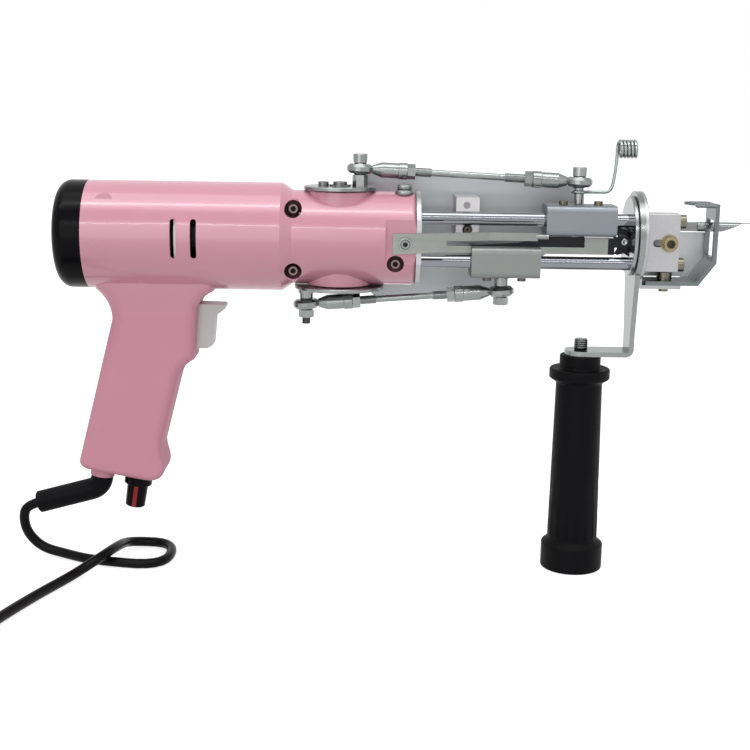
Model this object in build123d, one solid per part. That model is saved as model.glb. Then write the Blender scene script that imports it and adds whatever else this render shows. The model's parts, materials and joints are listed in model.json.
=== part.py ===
from build123d import *
from math import atan2, ceil, cos, degrees, hypot, pi, radians, sin, sqrt, tan
import os

# Handheld tufting machine: a pistol-shaped motor housing drives an upright crank.
# The crank moves a needle slider and a scissor slider on two guide rods.
# Millimetres. X runs forward along the barrel, Z is up, the side in view faces -Y.
# All shapes are drawn about the crank centre on the barrel axis and then moved,
# so that the finished part's origin lies in the hand grip.

# Place of the crank centre seen from the hand grip
crank_ahead = 113.0
barrel_above = 60.0

# Clearances, general small sizes and the overrun of cuts
overrun = 1.0
seat_gap = 0.10
free_gap = 0.35
running_gap = 0.05
sheet = 2.2
edge_round = 0.6

# Housing barrel
barrel_r = 32.5
barrel_back = -150.8
barrel_front = -34.4
taper_front = -27.9
barrel_wall = 2.6
gear_r = 28.2
gear_wall = 5.2
gear_front = 45.8
gear_back = -24.0
front_round = 3.0
cap_length = 18.0
cap_round = 8.0
cap_lip = 6.0
cap_wall = 2.5

# Round pad under each crank disc and flats at the sides for the bars
pad_r = 19.8
pad_height = 26.2
flat_half_height = 13.1
flat_back = 27.5

# Vent slots
vent_x = (-96.6, -84.8)
vent_width = 3.6
vent_height = 23.0
vent_rise = 0.8

# Hand grip: a leaning rounded column, a neck under the barrel and a toe in front
grip_depth = 47.4
grip_half_width = 17.0
grip_rear_round = 9.5
grip_front_round = 6.0
grip_lean = 14.2
grip_axis_x = -100.2
grip_drop = 150.0
sole_front = (-115.9, -151.3)
sole_lean = 10.5
sole_round = 3.5
toe_half_width = 12.0
toe_round = 3.0
toe_points = [(-107.7, -124.5), (-108.8, -132.0), (-106.6, -142.3), (-108.9, -148.3), (-115.9, -151.3)]
neck_top = -18.0
neck_rear = [(-147.0, -32.5), (-138.3, -44.9), (-140.0, -60.8)]
neck_rear_end = (-144.4, -78.0)
neck_front_end = (-100.3, -96.6)
neck_finger = [(-97.6, -86.2), (-94.0, -79.6), (-87.7, -74.5)]
neck_front = [(-87.3, -69.3), (-85.2, -42.2), (-81.8, -36.9), (-75.4, -32.5)]
cavity_points = [(-134, -18), (-134, -66), (-152, -132), (-149, -139), (-117, -146), (-110, -142),
                 (-113, -124), (-102, -88), (-93, -72), (-88, -42), (-88, -18)]

# Trigger
trigger_top = -41.0
trigger_bottom = -68.4
trigger_back = -91.0
trigger_half_width = 7.5
trigger_travel = 6.0
trigger_stem_r = 2.5
trigger_stem = 5.0
trigger_reach = 22.0
trigger_shares = [(1.0, 0.02), (1.0, 0.10), (0.72, 0.28), (0.65, 0.93), (0.50, 1.0), (0.0, 1.0)]
switch_size = (22.0, 14.0, 26.0)
switch_gap = 2.0

# Speed knob on its control under the grip
butt_tilt = 8.7
knob_x = -124.6
knob_z = -150.1
knob_r = 6.1
knob_skirt_r = 8.6
knob_skirt = 6.0
knob_length = 20.5
knob_gap = 0.8
knob_taper = 0.6
knob_bore_r = 3.0
line_width = 2.6
line_depth = 0.5
control_shaft_r = 2.9
control_body_r = 8.0
control_body = 9.0
control_sleeve_r = 3.6

# Cord guard and cord
collar_x = -147.0
collar_z = -146.0
collar_r = 7.4
collar_length = 6.5
guard_r = 6.9
guard_drop = 8.0
guard_end = (-188.4, -170.1)
guard_bend_r = 9.0
guard_mouth = 4.0
cord_d = 6.2
floor_z = -207.5

# Cord route: points chosen by hand, from the guard to the coil
cord_hump = 7.4
lie = floor_z + cord_d / 2
cord_route = [(-188.4, 0, -170.1), (-195.65, 0, -171.95), (-199.0, 0.8, -179.5), (-197.5, 2.4, -191.0),
              (-188.5, 3.6, -201.5), (-173.0, 0.5, lie), (-154.0, -11.0, lie), (-107.0, -20.5, lie),
              (-105.5, 23.5, lie), (-137.0, 24.5, lie + 0.8), (-138.5, -4.0, lie + cord_hump),
              (-144.0, -22.5, lie + cord_hump), (-159.5, -38.0, lie), (-173.0, -70.0, lie),
              (-185.0, -104.0, lie), (-192.3, -131.0, lie + 0.3), (-196.05, -152.0, lie + 1.2),
              (-196.05, -169.0, lie + 1.2)]

# Coil of the cord that is put away
coil_turn = 6.9
coil_layer = 6.9
coil_mid_r = 35.0
coil_lift = 1.2
coil_turns = 3
coil_x = -241.4
coil_y = -172.5
tail_level = 24.0
tail_run = 50.0
tie_sheet = 1.0
tie_width = 10.0
tie_slack = 1.0
tie_gap = 0.15
connector_r = 5.4
connector_length = 34.0
connector_neck_r = 4.0
connector_neck = 12.0
connector_socket_r = 2.75
connector_socket = 9.5
connector_turn = 0.25

# Motor and gears
motor_r = 21.0
motor_back = -106.0
motor_front = -38.0
motor_nose_r = 8.5
motor_nose = 4.0
motor_tail_r = 9.0
motor_tail = 5.0
carrier_back = -96.5
carrier_front = -89.5
shaft_r = 2.5
gear_pitch_r = 12.6
pinion_pitch_r = 4.2
gear_teeth = 24
pinion_teeth = 8
tooth_up = 0.75
tooth_down = 1.25
tooth_tip_half = 0.34
tooth_root_half = 0.80
tooth_face = 4.0
gear_body = 4.0
gear_hub_r = 7.0
gear_hub = 5.0
pinion_hub_r = 2.9
pinion_bore_r = 1.2
pinion_hub_back = -15.6
cavity_r = 16.6
cavity_half = 16.2

# Crank shaft, discs and pins
crank_shaft_r = 4.0
boss_r = 9.0
boss_top = 27.4
bearing_r = 6.5
bearing_length = 6.0
bearing_flange_r = 8.0
bearing_flange = 0.8
disc_gap = 0.45
disc_thick = 2.2
top_disc_r = 21.8
bottom_disc_r = 27.2
top_throw = 12.0
bottom_throw = 20.0
hub_screw_r = 4.2
hub_screw_head = 1.9
hub_washer_r = 6.4
hub_washer = 0.8
lug_r = 5.0
lug_height = 3.2
disc_screw_r = 3.2
disc_screw_head = 2.6
disc_screw_in = 10.0

# Rod ends and connecting rods, all on M5 threads
pin_r = 2.5
eye_r = 8.0
eye_thick = 5.6
eye_bevel = 1.6
ball_r = 5.0
ball_width = 7.2
rod_end_r = 4.6
rod_end_collar_r = 5.0
rod_end_length = 28.5
rod_end_collar = 5.5
rod_end_neck = 13.0
jam_nut_flats = 8.0
jam_nut = 4.6
tie_r = 2.0
tie_thread_r = 2.45
tie_thread = 9.0
top_rod = 132.0
bottom_rod = 119.0
top_eye_crank = 41.4
top_eye_slider = 35.4
bottom_eye_crank = -40.9
bottom_eye_slider = -31.6
nut_flats = 8.0
nut_high = 4.6
bolt_head_r = 4.25
bolt_head = 5.2
spacer_r = 4.1
thread_proud = 4.0

# Yarn guide
wire_r = 1.1
wire_reach = 13.5
wire_bend_r = 8.0
wire_rise = 25.0
eyelet_r = 4.7
eyelet_pitch = 2.7
eyelet_turns = 4.25

# Guide rods, sliders
guide_r = 4.0
guide_half = 13.0
guide_y = -6.0
guide_back = 27.0
slider_near = -15.0
slider_far = 10.0
slider_half_gap = 3.6
slider_height = 18.4
top_slider_length = 42.0
top_slider_ahead = 0.6
bottom_slider_length = 41.4
bottom_slider_ahead = 1.2
slider_round = 3.5
bush_wall = 0.9
set_screw_r = 2.6
set_screw_head = 2.4
set_screw_deep = 3.0
set_screw_apart = 21.0

# Needle bar and needle
needle_y = 2.0
needle_z = 9.4
needle_bar_half = 2.7
needle_bar_thick = 3.0
needle_bar_back = 141.0
needle_bar_front = 229.0
needle_r = 2.9
needle_bore_r = 2.0
needle_back = 217.0
needle_tip = 256.0
needle_tip_r = 0.55
needle_scarf = 229.0
needle_scarf_end = 243.5

# Scissor strip, block, pivot and blades
strip_back = 64.0
strip_thick = 2.5
strip_low = -7.6
strip_high = -3.4
scissor_block_back = 147.8
scissor_block_front = 166.0
scissor_block_top = 2.2
scissor_block_far = 0.5
pivot_x = 176.0
pivot_r = 1.6
pivot_head_r = 2.9
pivot_head = 1.6
pivot_plate = 2.0
pivot_plate_half = 3.2
blade_thick = 1.4
blade_gap = 0.25
blade_open = 7.0
blade_points = [(27.0, 0.7), (20.0, 3.1), (2.0, 3.4), (-4.0, 1.6), (-8.5, -2.0), (-7.5, -4.4),
                (-2.0, -3.3), (5.0, -1.2), (8.0, 0.0), (27.0, 0.0)]

# Opening bar on the housing
bar_y = -25.0
bar_thick = 2.4
bar_back = 31.8
bar_top = 5.2
bar_low = -7.0
bar_step = 63.4
bar_mid_low = -5.0
bar_bend = 78.0
bar_y_front = -19.4
bar_front_low = 1.6
bar_front_top = 6.4
bar_end = 117.6
bar_pin_r = 1.5
bar_pin_end = 124.0
bar_screw_x = 39.2
bar_screw_z = -0.9
bar_screw_r = 2.5
bar_screw_head_r = 4.0
bar_screw_head = 2.2

# Guard sheet on the far side
guard_y = 29.0
guard_sheet = 1.5
guard_back = 14.0
guard_top = 42.4
guard_front = 152.0
guard_front_top = 30.6
guard_front_low = 4.0
guard_low = -41.0
guard_low_front = 97.0
guard_low_end = -34.4
standoff_x = (70.0, 84.0)
standoff_low = 1.8
standoff_high = 25.4
standoff_near = -5.2
standoff_pin = (76.4, 20.8)
standoff_pin_r = 1.9
standoff_screw = (77.0, 6.2)
standoff_head_r = 2.6
post_r = 4.5
guard_posts = [(33.5, 13.0), (33.5, -13.0)]

# Nose: rear disc, bracket ring, front plate, block, cheek
nose_rise = 3.4
rear_disc_r = 24.0
rear_disc_back = 174.9
rear_disc_thick = 2.5
ring_thick = 3.0
ring_gap = 0.1
ring_r = 27.0
hub_r = 20.5
front_plate_r = 27.0
window_half = 11.0
window_low = -8.4
window_high = 13.6
block_near = -13.0
block_far = -1.0
block_front = 203.6
block_top = 18.0
block_low = -16.8
block_web = 3.0
block_gap_half = 8.4
slot_start = 187.8
slot_half = 2.3
clamp_x = 197.6
clamp_z = 0.4
clamp_screw_r = 2.5
clamp_head_r = 4.2
clamp_head = 4.0
clamp_washer_r = 5.2
clamp_washer = 1.0
nose_screw_head_r = 4.2
nose_screw_head = 4.6
nose_screw_r = 2.4
nose_screw_grip = 12.0
tab_front = 206.4
tab_top = -25.2
tab_half = 11.0
tab_thick = 2.2
cheek_y = 12.0
cheek_thick = 1.6
cheek_front = 221.5
cheek_top = 5.0

# Presser foot
foot_thick = 2.5
foot_back = 185.0
foot_toe = 216.7
foot_face = 227.0
foot_face_low = -11.5
foot_top = 24.0
foot_half = 11.5
foot_leg = 3.2
foot_window_low = -8.0
foot_window_high = 14.2
foot_prong = 14.0
foot_prong_width = 4.0
foot_prong_thick = 1.8
foot_bolt_x = 198.4
foot_bolt_r = 3.0
foot_bolt_head_r = 4.6
foot_bolt_head = 4.6
foot_nut_thick = 2.6

# Handle bracket, stud and side grip
arm_half_top = 15.5
arm_half_low = 9.5
arm_low = -70.0
bracket_bend_r = 5.0
shelf_thick = 3.0
shelf_back = 139.8
shelf_half = 10.0
stud_x = 149.6
stud_r = 4.0
stud_top = -60.4
stud_nut_r = 4.0
grip_top = -73.2
grip_collar_r = 12.6
grip_collar = 8.5
grip_flange_r = 18.6
grip_flange = 6.0
side_grip_top_r = 14.2
side_grip_low_r = 15.7
grip_foot_r = 19.3
grip_foot = 16.0
grip_flutes = 16
flute_r = 1.2
stud_deep = 40.0

# Housing and cover screws
screw_r = 2.0
screw_head_r = 3.5
screw_head = 4.0
screw_well_r = 5.0
screw_key = 3.0
body_screws = [(-27.0, 18.4), (-27.0, -18.4)]
body_screw_deep = 34.0
body_screw_seat = -16.4
case_screw = (33.6, -13.0)
case_screw_deep = 8.0
case_screw_seat = -21.0
shell_screws = [(-128.2, -62.0), (-142.0, -126.0), (-138.0, 20.0)]
shell_screw_seat = 11.5
shell_screw_deep = 12.0
shell_post_r = 6.0


# Small helpers

low_end = (Align.CENTER, Align.CENTER, Align.MIN)
turn_to = {"X": Rot(0, 90, 0), "Y": Rot(-90, 0, 0), "Z": Rot(0, 0, 0)}


def spot(axis, along, across):
    """The point at a place along an axis and at two places across it, in X, Y, Z order."""
    first, second = across
    return {"X": (along, first, second), "Y": (first, along, second), "Z": (first, second, along)}[axis]


def round_bar(radius, start, end, axis="X", at=(0, 0), end_radius=None):
    """A round bar, or a cone where the end radius differs, from start to end."""
    length = end - start
    if end_radius is None:
        solid = Cylinder(radius, length, align=low_end)
    else:
        solid = Cone(radius, end_radius, length, align=low_end)
    return Pos(*spot(axis, start, at)) * turn_to[axis] * solid


def hex_bar(flats, start, end, axis="X", at=(0, 0)):
    """A six-sided bar from start to end."""
    solid = extrude(RegularPolygon(flats / 2, 6, major_radius=False), end - start)
    return Pos(*spot(axis, start, at)) * turn_to[axis] * solid


def block(x, y, z):
    """A box between a low and a high value on each axis."""
    size = [high - low for low, high in (x, y, z)]
    middle = [(high + low) / 2 for low, high in (x, y, z)]
    return Pos(*middle) * Box(*size)


def side_plate(points, y_from, y_to):
    """A plate with an outline in X and Z, from one Y to another."""
    outline = make_face(Polyline(*[(x, y_from, z) for x, z in points], close=True))
    return extrude(outline, y_to - y_from, dir=(0, 1, 0))


def cap_screw(head_r, head, shank_r, length, key, heading, seat):
    """A socket cap screw whose head stands on seat and whose shank runs the other way."""
    body = Cylinder(head_r, head, align=low_end)
    body = fillet(body.edges().sort_by(Axis.Z)[-1], edge_round / 2)
    body -= Pos(0, 0, head / 2) * extrude(RegularPolygon(key / 2, 6, major_radius=False), head)
    body += Pos(0, 0, -length) * Cylinder(shank_r, length, align=low_end)
    return Pos(*seat) * heading * body


def nearer(amount):
    """The heading of a screw whose head faces the side in view."""
    return Rot(90 * amount, 0, 0)


# Housing

def grip_column():
    """The leaning column of the grip, cut off at the sole."""
    column = extrude(Rectangle(grip_depth, 2 * grip_half_width), -2 * grip_drop)
    upright = column.edges().filter_by(Axis.Z).sort_by(Axis.X)
    column = fillet(upright[2:], grip_front_round)
    rear = column.edges().filter_by(Axis.Z).sort_by(Axis.X)[:2]
    column = fillet(rear, grip_rear_round)
    column = Pos(grip_axis_x, 0, 0) * Rot(0, grip_lean, 0) * column
    column -= round_bar(barrel_r, -grip_drop, grip_drop, "Z", (grip_axis_x, 0)) & block(
        (barrel_back, 0), (-barrel_r, barrel_r), (neck_top, barrel_r))
    x, z = sole_front
    below = Pos(x, 0, z) * Rot(0, sole_lean, 0) * Pos(0, 0, -grip_drop) * Box(2 * grip_drop, grip_drop, 2 * grip_drop)
    column -= below
    lowest = column.faces().sort_by(Axis.Z)[0]
    return fillet(lowest.edges(), sole_round)


def grip_neck():
    """The part of the grip under the barrel, hollowed for the hand behind and for the finger in front."""
    def at(point):
        return (point[0], 0, point[1])
    rear = [at(point) for point in neck_rear]
    finger = [at(point) for point in neck_finger]
    front = [at(point) for point in neck_front]
    top_rear = (rear[0][0], 0, neck_top)
    top_front = (front[-1][0], 0, neck_top)
    edges = [Line(top_rear, rear[0]), ThreePointArc(*rear), Line(rear[-1], at(neck_rear_end)),
             Line(at(neck_rear_end), at(neck_front_end)), Line(at(neck_front_end), finger[0]),
             ThreePointArc(*finger), Line(finger[-1], front[0]), Line(*front[:2]), ThreePointArc(*front[1:]),
             Line(front[-1], top_front), Line(top_front, top_rear)]
    neck = extrude(make_face(edges), grip_half_width, dir=(0, 1, 0), both=True)
    middle = (neck_rear[-1][0] + neck_finger[0][0]) / 2
    flanks = [edge for edge in neck.edges()
              if abs(abs(edge.center().Y) - grip_half_width) < seat_gap and edge.center().Z < neck_top - overrun]
    across = flat_join(neck)
    flanks = [edge for edge in flanks if abs(edge.center().Z - across) > overrun]
    neck = fillet([edge for edge in flanks if edge.center().X < middle], grip_rear_round)
    ahead = [edge for edge in neck.edges()
             if abs(abs(edge.center().Y) - grip_half_width) < seat_gap and edge.center().Z < neck_top - overrun
             and edge.center().X > middle and abs(edge.center().Z - across) > overrun]
    return fillet(ahead, grip_front_round)


def flat_join(neck):
    """The height of the middle of the neck's lower end."""
    return (neck_rear_end[1] + neck_front_end[1]) / 2


def grip_toe():
    """The toe that stops the hand, in front of the sole."""
    outline = [(x, 0, z) for x, z in toe_points]
    inner = [(toe_points[-1][0] - toe_half_width, 0, toe_points[-1][1] + overrun),
             (toe_points[0][0] - toe_half_width, 0, toe_points[0][1])]
    edges = [ThreePointArc(*outline[:3]), ThreePointArc(*outline[2:]), Line(outline[-1], inner[0]),
             Line(*inner), Line(inner[1], outline[0])]
    toe = extrude(make_face(edges), toe_half_width, dir=(0, 1, 0), both=True)
    rims = [edge for edge in toe.edges() if abs(abs(edge.center().Y) - toe_half_width) < seat_gap
            and edge.center().X > toe_points[-1][0]]
    return fillet(rims, toe_round)


def grip_slab():
    """The whole grip."""
    return grip_column() + grip_neck() + grip_toe()


def barrel_solid():
    """The barrel, its taper and the gear section, one turned form."""
    profile = Polyline((barrel_back, 0), (barrel_back, barrel_r), (barrel_front, barrel_r),
                       (taper_front, gear_r), (gear_front, gear_r), (gear_front, 0), close=True)
    turned = revolve(Plane.XZ * make_face(profile), Axis.X)
    front_rim = turned.edges().filter_by(GeomType.CIRCLE).sort_by(Axis.X)[-1]
    return fillet(front_rim, front_round)


def barrel_hollow():
    """The room for the motor and the gearbox inside the barrel."""
    motor_room = round_bar(barrel_r - barrel_wall, barrel_back - overrun, barrel_front)
    gear_room = round_bar(gear_r - gear_wall, barrel_front - overrun, gear_front + overrun)
    return motor_room + gear_room


def disc_pads(start, end):
    """Round bars of the pads' size above and below the barrel axis."""
    top = round_bar(pad_r, start, end, "Z")
    return top + mirror(top, Plane.XY)


def collar_heading():
    """The frame of the cord collar: its Z points out of the grip's sole."""
    return Pos(collar_x, 0, collar_z) * Rot(0, 180 + butt_tilt, 0)


def knob_heading():
    """The frame of the speed knob: its Z points out of the grip's sole."""
    return Pos(knob_x, 0, knob_z) * Rot(0, 180 + butt_tilt, 0)


def housing():
    """Both shells in one piece, before they are parted on the middle plane."""
    collar = collar_heading() * Pos(0, 0, -overrun) * Cylinder(collar_r, collar_length, align=low_end)
    outside = barrel_solid() + disc_pads(0, pad_height) + grip_slab() + collar
    outside -= disc_pads(pad_height, gear_r + overrun)
    cavity = make_face(Polyline(*[(x, 0, z) for x, z in cavity_points], close=True))
    room = extrude(cavity, grip_half_width - barrel_wall, dir=(0, 1, 0), both=True)
    body = outside - barrel_hollow() - room
    body -= round_bar(boss_r + free_gap, -gear_r, gear_r, "Z")
    body += shell_posts()
    body += switch_ribs()
    for x in vent_x:
        body -= vent(x)
    for side in (-1, 1):
        body -= side_flat(side)
    body -= collar_heading() * Pos(0, 0, -2 * collar_length) * Cylinder(cord_d / 2 + free_gap, 4 * collar_length,
                                                                        align=low_end)
    body -= knob_heading() * Cylinder(control_sleeve_r + seat_gap, 4 * knob_skirt)
    trigger_room = trigger_half_width + free_gap
    body -= block((trigger_back - trigger_travel, trigger_back + trigger_reach),
                  (-trigger_room, trigger_room), (trigger_bottom - free_gap, trigger_top + free_gap))
    return body - screw_wells()


def vent(x):
    """A round-ended vent slot through both sides."""
    slot = block((x - vent_width / 2, x + vent_width / 2), (-barrel_r - overrun, barrel_r + overrun),
                 (vent_rise - vent_height / 2, vent_rise + vent_height / 2))
    return fillet(slot.edges().filter_by(Axis.Y), vent_width / 2 - edge_round / 10)


def side_flat(side):
    """The cut that leaves a flat seat at the side of the gear section."""
    near = -bar_y
    far = gear_r + overrun
    seat = block((flat_back, gear_front + ring_thick + overrun), (near, far), (-flat_half_height, flat_half_height))
    return seat if side > 0 else mirror(seat, Plane.XZ)


def shell_posts():
    """Posts inside the shells that take the cover screws."""
    posts = [round_bar(shell_post_r, -grip_half_width + barrel_wall - overrun, grip_half_width - barrel_wall + overrun,
                       "Y", at) for at in shell_screws[:2]]
    x, z = shell_screws[2]
    reach = sqrt(barrel_r ** 2 - z ** 2) - barrel_wall
    posts.append(round_bar(shell_post_r, -reach, reach, "Y", (x, z)))
    body_posts = [round_bar(screw_head_r + barrel_wall, -reach_at(z), reach_at(z), "Y", (x, z))
                  & round_bar(barrel_r - barrel_wall / 2, x - 2 * screw_head_r, gear_back - free_gap, "X")
                  for x, z in body_screws]
    return Part() + posts + body_posts


def switch_room():
    """The middle of the trigger switch and half its size, along X and Z."""
    length, width, height = switch_size
    front = trigger_back - trigger_travel - switch_gap
    return (front - length / 2, (trigger_top + trigger_bottom) / 2), (length / 2, height / 2)


def switch_ribs():
    """Ribs inside the shells that hold the trigger switch between them."""
    (x, z), (_, half_height) = switch_room()
    rib = block((x - sheet / 2, x + sheet / 2),
                (switch_size[1] / 2 + free_gap, grip_half_width - barrel_wall + overrun),
                (z - half_height, z + half_height))
    return [rib, mirror(rib, Plane.XZ)]


def reach_at(z):
    """How far the gear section reaches sideways at a height, less half its wall."""
    return sqrt(gear_r ** 2 - z ** 2) - gear_wall / 2


def screw_wells():
    """Wells, head seats and shank holes of all the housing's screws."""
    cuts = Part()
    far = barrel_r + overrun
    for at in body_screws:
        cuts += round_bar(screw_well_r, -far, body_screw_seat, "Y", at)
        cuts += round_bar(screw_r + seat_gap, -far, body_screw_seat + body_screw_deep, "Y", at)
    cuts += round_bar(screw_well_r, -far, case_screw_seat, "Y", case_screw)
    cuts += round_bar(screw_r + seat_gap, -far, 0, "Y", case_screw)
    cuts += round_bar(bar_screw_r + seat_gap, -far, 0, "Y", (bar_screw_x, bar_screw_z))
    for at in shell_screws:
        seat = shell_seat(at)
        cuts += round_bar(screw_well_r - edge_round, seat, far, "Y", at)
        cuts += round_bar(screw_r + seat_gap, seat - shell_screw_deep, far, "Y", at)
    for x, z in guard_posts:
        cuts += round_bar(screw_r + seat_gap, 0, far, "Y", (x, z))
    return cuts


def shell_seat(at):
    """The Y on which a cover screw's head sits in the far shell."""
    x, z = at
    if z > 0:
        return sqrt(barrel_r ** 2 - z ** 2) - 2 * screw_head
    return shell_screw_seat


def parted(body, side):
    """The half of a body on one side of the middle plane."""
    reach = 20 * barrel_r
    half = block((-reach, reach), (0, reach), (-reach, reach))
    if side < 0:
        half = mirror(half, Plane.XZ)
    return body & half


def rear_cap():
    """The domed cover of the barrel's rear, with a lip inside the barrel."""
    back = barrel_back - cap_length
    dome = round_bar(barrel_r, back, barrel_back)
    dome = fillet(dome.edges().sort_by(Axis.X)[0], cap_round)
    hollow = round_bar(barrel_r - cap_wall - cap_round / 2, back + cap_wall, barrel_back + overrun)
    lip_r = barrel_r - barrel_wall - seat_gap
    lip = round_bar(lip_r, barrel_back, barrel_back + cap_lip)
    lip -= round_bar(lip_r - cap_wall, barrel_back - overrun, barrel_back + cap_lip + overrun)
    return (dome - hollow) + lip


def housing_screws():
    """The socket screws in the near shell and the ones that close the grip from the far side."""
    screws = [cap_screw(screw_head_r, screw_head, screw_r, body_screw_deep, screw_key, nearer(1),
                        (x, body_screw_seat, z)) for x, z in body_screws]
    x, z = case_screw
    screws.append(cap_screw(screw_head_r, screw_head, screw_r, case_screw_deep, screw_key, nearer(1),
                            (x, case_screw_seat, z)))
    screws += [cap_screw(screw_head_r, screw_head, screw_r, shell_screw_deep, screw_key, nearer(-1),
                         (x, shell_seat((x, z)), z)) for x, z in shell_screws]
    return screws


# Trigger, switch, speed control

def trigger():
    """The finger piece: a hooked nose above a straight face, and a stem to the switch."""
    reach = trigger_reach
    height = trigger_top - trigger_bottom
    points = [(trigger_back, trigger_top)]
    points += [(trigger_back + x * reach, trigger_top - z * height) for x, z in trigger_shares]
    body = side_plate(points, -trigger_half_width, trigger_half_width)
    front = [edge for edge in body.edges().filter_by(Axis.Y) if edge.center().X > trigger_back + overrun]
    body = fillet(front, edge_round)
    middle = (trigger_top + trigger_bottom) / 2
    return body + round_bar(trigger_stem_r, trigger_back - trigger_stem, trigger_back, "X", (0, middle))


def trigger_switch():
    """The switch block behind the trigger."""
    length, width, height = switch_size
    front = trigger_back - trigger_travel - switch_gap
    middle = (trigger_top + trigger_bottom) / 2
    body = block((front - length, front), (-width / 2, width / 2), (middle - height / 2, middle + height / 2))
    return body - round_bar(trigger_stem_r + free_gap, front - trigger_travel - overrun, front + overrun, "X", (0, middle))


def speed_control():
    """The potentiometer behind the speed knob: its can, threaded sleeve and shaft."""
    can = Pos(0, 0, -barrel_wall - knob_skirt - control_body) * Cylinder(control_body_r, control_body, align=low_end)
    sleeve = Pos(0, 0, -barrel_wall - knob_skirt) * Cylinder(control_sleeve_r, barrel_wall + knob_skirt, align=low_end)
    shaft = Cylinder(control_shaft_r, knob_length / 2, align=low_end)
    return knob_heading() * (can + sleeve + shaft)


def knob_shape():
    """The speed knob: a skirt, a tapered body and a blind bore for its shaft."""
    skirt = Pos(0, 0, knob_gap) * Cylinder(knob_skirt_r, knob_skirt, align=low_end)
    skirt = fillet(skirt.edges().sort_by(Axis.Z)[-1], edge_round)
    body = Pos(0, 0, knob_gap) * Cone(knob_r + knob_taper, knob_r, knob_length, align=low_end)
    body = chamfer(body.edges().sort_by(Axis.Z)[-1], edge_round)
    return skirt + body - Pos(0, 0, -overrun) * Cylinder(knob_bore_r, knob_length / 2 + 2 * overrun, align=low_end)


def knob_line_solid():
    """The pointer line along the knob's near side and over its end."""
    line = block((-line_width / 2, line_width / 2), (-knob_r - knob_taper, 0),
                 (knob_gap + knob_skirt, knob_gap + knob_length))
    return (knob_shape() & line) - Pos(0, 0, knob_gap) * Cylinder(knob_r - line_depth, knob_length - line_depth,
                                                                 align=low_end)


def speed_knob():
    """The knob without its inlaid line."""
    return knob_heading() * (knob_shape() - knob_line_solid())


def knob_line():
    """The inlaid pointer line."""
    return knob_heading() * knob_line_solid()


# Cord

def cord_guard():
    """The bent rubber guard that the cord leaves the collar through."""
    start = (collar_heading() * Pos(0, 0, collar_length - overrun)).position
    bend = (collar_heading() * Pos(0, 0, collar_length - overrun + guard_drop)).position
    end_x, end_z = guard_end
    path = FilletPolyline((start.X, 0, start.Z), (bend.X, 0, bend.Z), (end_x, 0, end_z), radius=guard_bend_r)
    section = Plane(origin=path @ 0, z_dir=path % 0) * Circle(guard_r)
    guard = sweep(section, path=path)
    mouth = Plane(origin=path @ 1, z_dir=path % 1)
    guard = chamfer(guard.edges().sort_by(Axis.X)[0], edge_round)
    return guard - mouth * Pos(0, 0, -guard_mouth) * Cylinder(cord_d / 2 + seat_gap, 2 * guard_mouth, align=low_end)


def cord_turns(points):
    """The radius of the arc at each corner of the route: 0.45 of the shorter run over tan(half the turn)."""
    radii = []
    for before, corner, after in zip(points, points[1:], points[2:]):
        arriving = Vector(*corner) - Vector(*before)
        leaving = Vector(*after) - Vector(*corner)
        shorter = min(arriving.length, leaving.length)
        radii.append(0.45 * shorter / tan(radians(arriving.get_angle(leaving)) / 2))
    return radii


def power_cord():
    """The free cord from the guard's mouth to the coil: straight runs joined by tangent arcs."""
    radii = cord_turns(cord_route)
    first_run = (Vector(*cord_route[1]) - Vector(*cord_route[0])).normalized()
    mouth = Vector(*cord_route[0]) - first_run * (guard_mouth - running_gap)
    points = [tuple(mouth)] + cord_route[1:]
    path = FilletPolyline(*points, radius=radii)
    tube = sweep(Plane(origin=path @ 0, z_dir=path % 0) * Circle(cord_d / 2), path=path)
    print("cord radii", [round(radius, 1) for radius in radii])
    print("cord length", round(path.length, 1), "volume over section times length",
          round(tube.volume / (pi * cord_d ** 2 / 4 * path.length), 4))
    return tube


def coil_stations():
    """Points of the wound coil a quarter turn apart, clockwise from above, with their headings."""
    outer = coil_mid_r + coil_turn * coil_turns / 2
    inner = outer - coil_turn * coil_turns
    low = lie + coil_lift
    stations = []
    quarters_down = 4 * coil_turns
    for quarter in range(quarters_down + 1):
        stations.append((quarter, outer - coil_turn * quarter / 4, low))
    stations.append((quarters_down + 1, inner - coil_turn / 4, low + coil_layer / 2))
    for quarter in range(quarters_down - 3):
        stations.append((quarters_down + 2 + quarter, inner + coil_turn * quarter / 4, low + coil_layer))
    return stations


def coil_point(turn, radius, height):
    """A point of the coil and the unit vector along it, before its slopes are added."""
    angle = -turn * pi / 2
    return (Vector(coil_x + radius * cos(angle), coil_y + radius * sin(angle), height),
            Vector(sin(angle), -cos(angle), 0))


def arc_middle(start, end, along):
    """The middle point of the arc that leaves start along a direction and ends at end."""
    chord = end - start
    half = chord.get_angle(along) / 2
    side = along - chord * (along.dot(chord) / chord.dot(chord))
    if side.length < seat_gap / 1000:
        return (start + end) * 0.5
    return (start + end) * 0.5 + side.normalized() * (chord.length / 2 * tan(radians(half)))


def biarc(start, along_start, end, along_end):
    """Two tangent arcs from one point and heading to another."""
    across = end - start
    both = along_start + along_end
    square = both.dot(both) - 4
    cross = across.dot(both)
    reach = across.dot(across) / (cross + sqrt(cross ** 2 - square * across.dot(across)))
    joint = (start + along_start * reach + end - along_end * reach) * 0.5
    first = ThreePointArc(start, arc_middle(start, joint, along_start), joint)
    second = ThreePointArc(joint, arc_middle(end, joint, -along_end), end)
    return [first, second]


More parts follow.
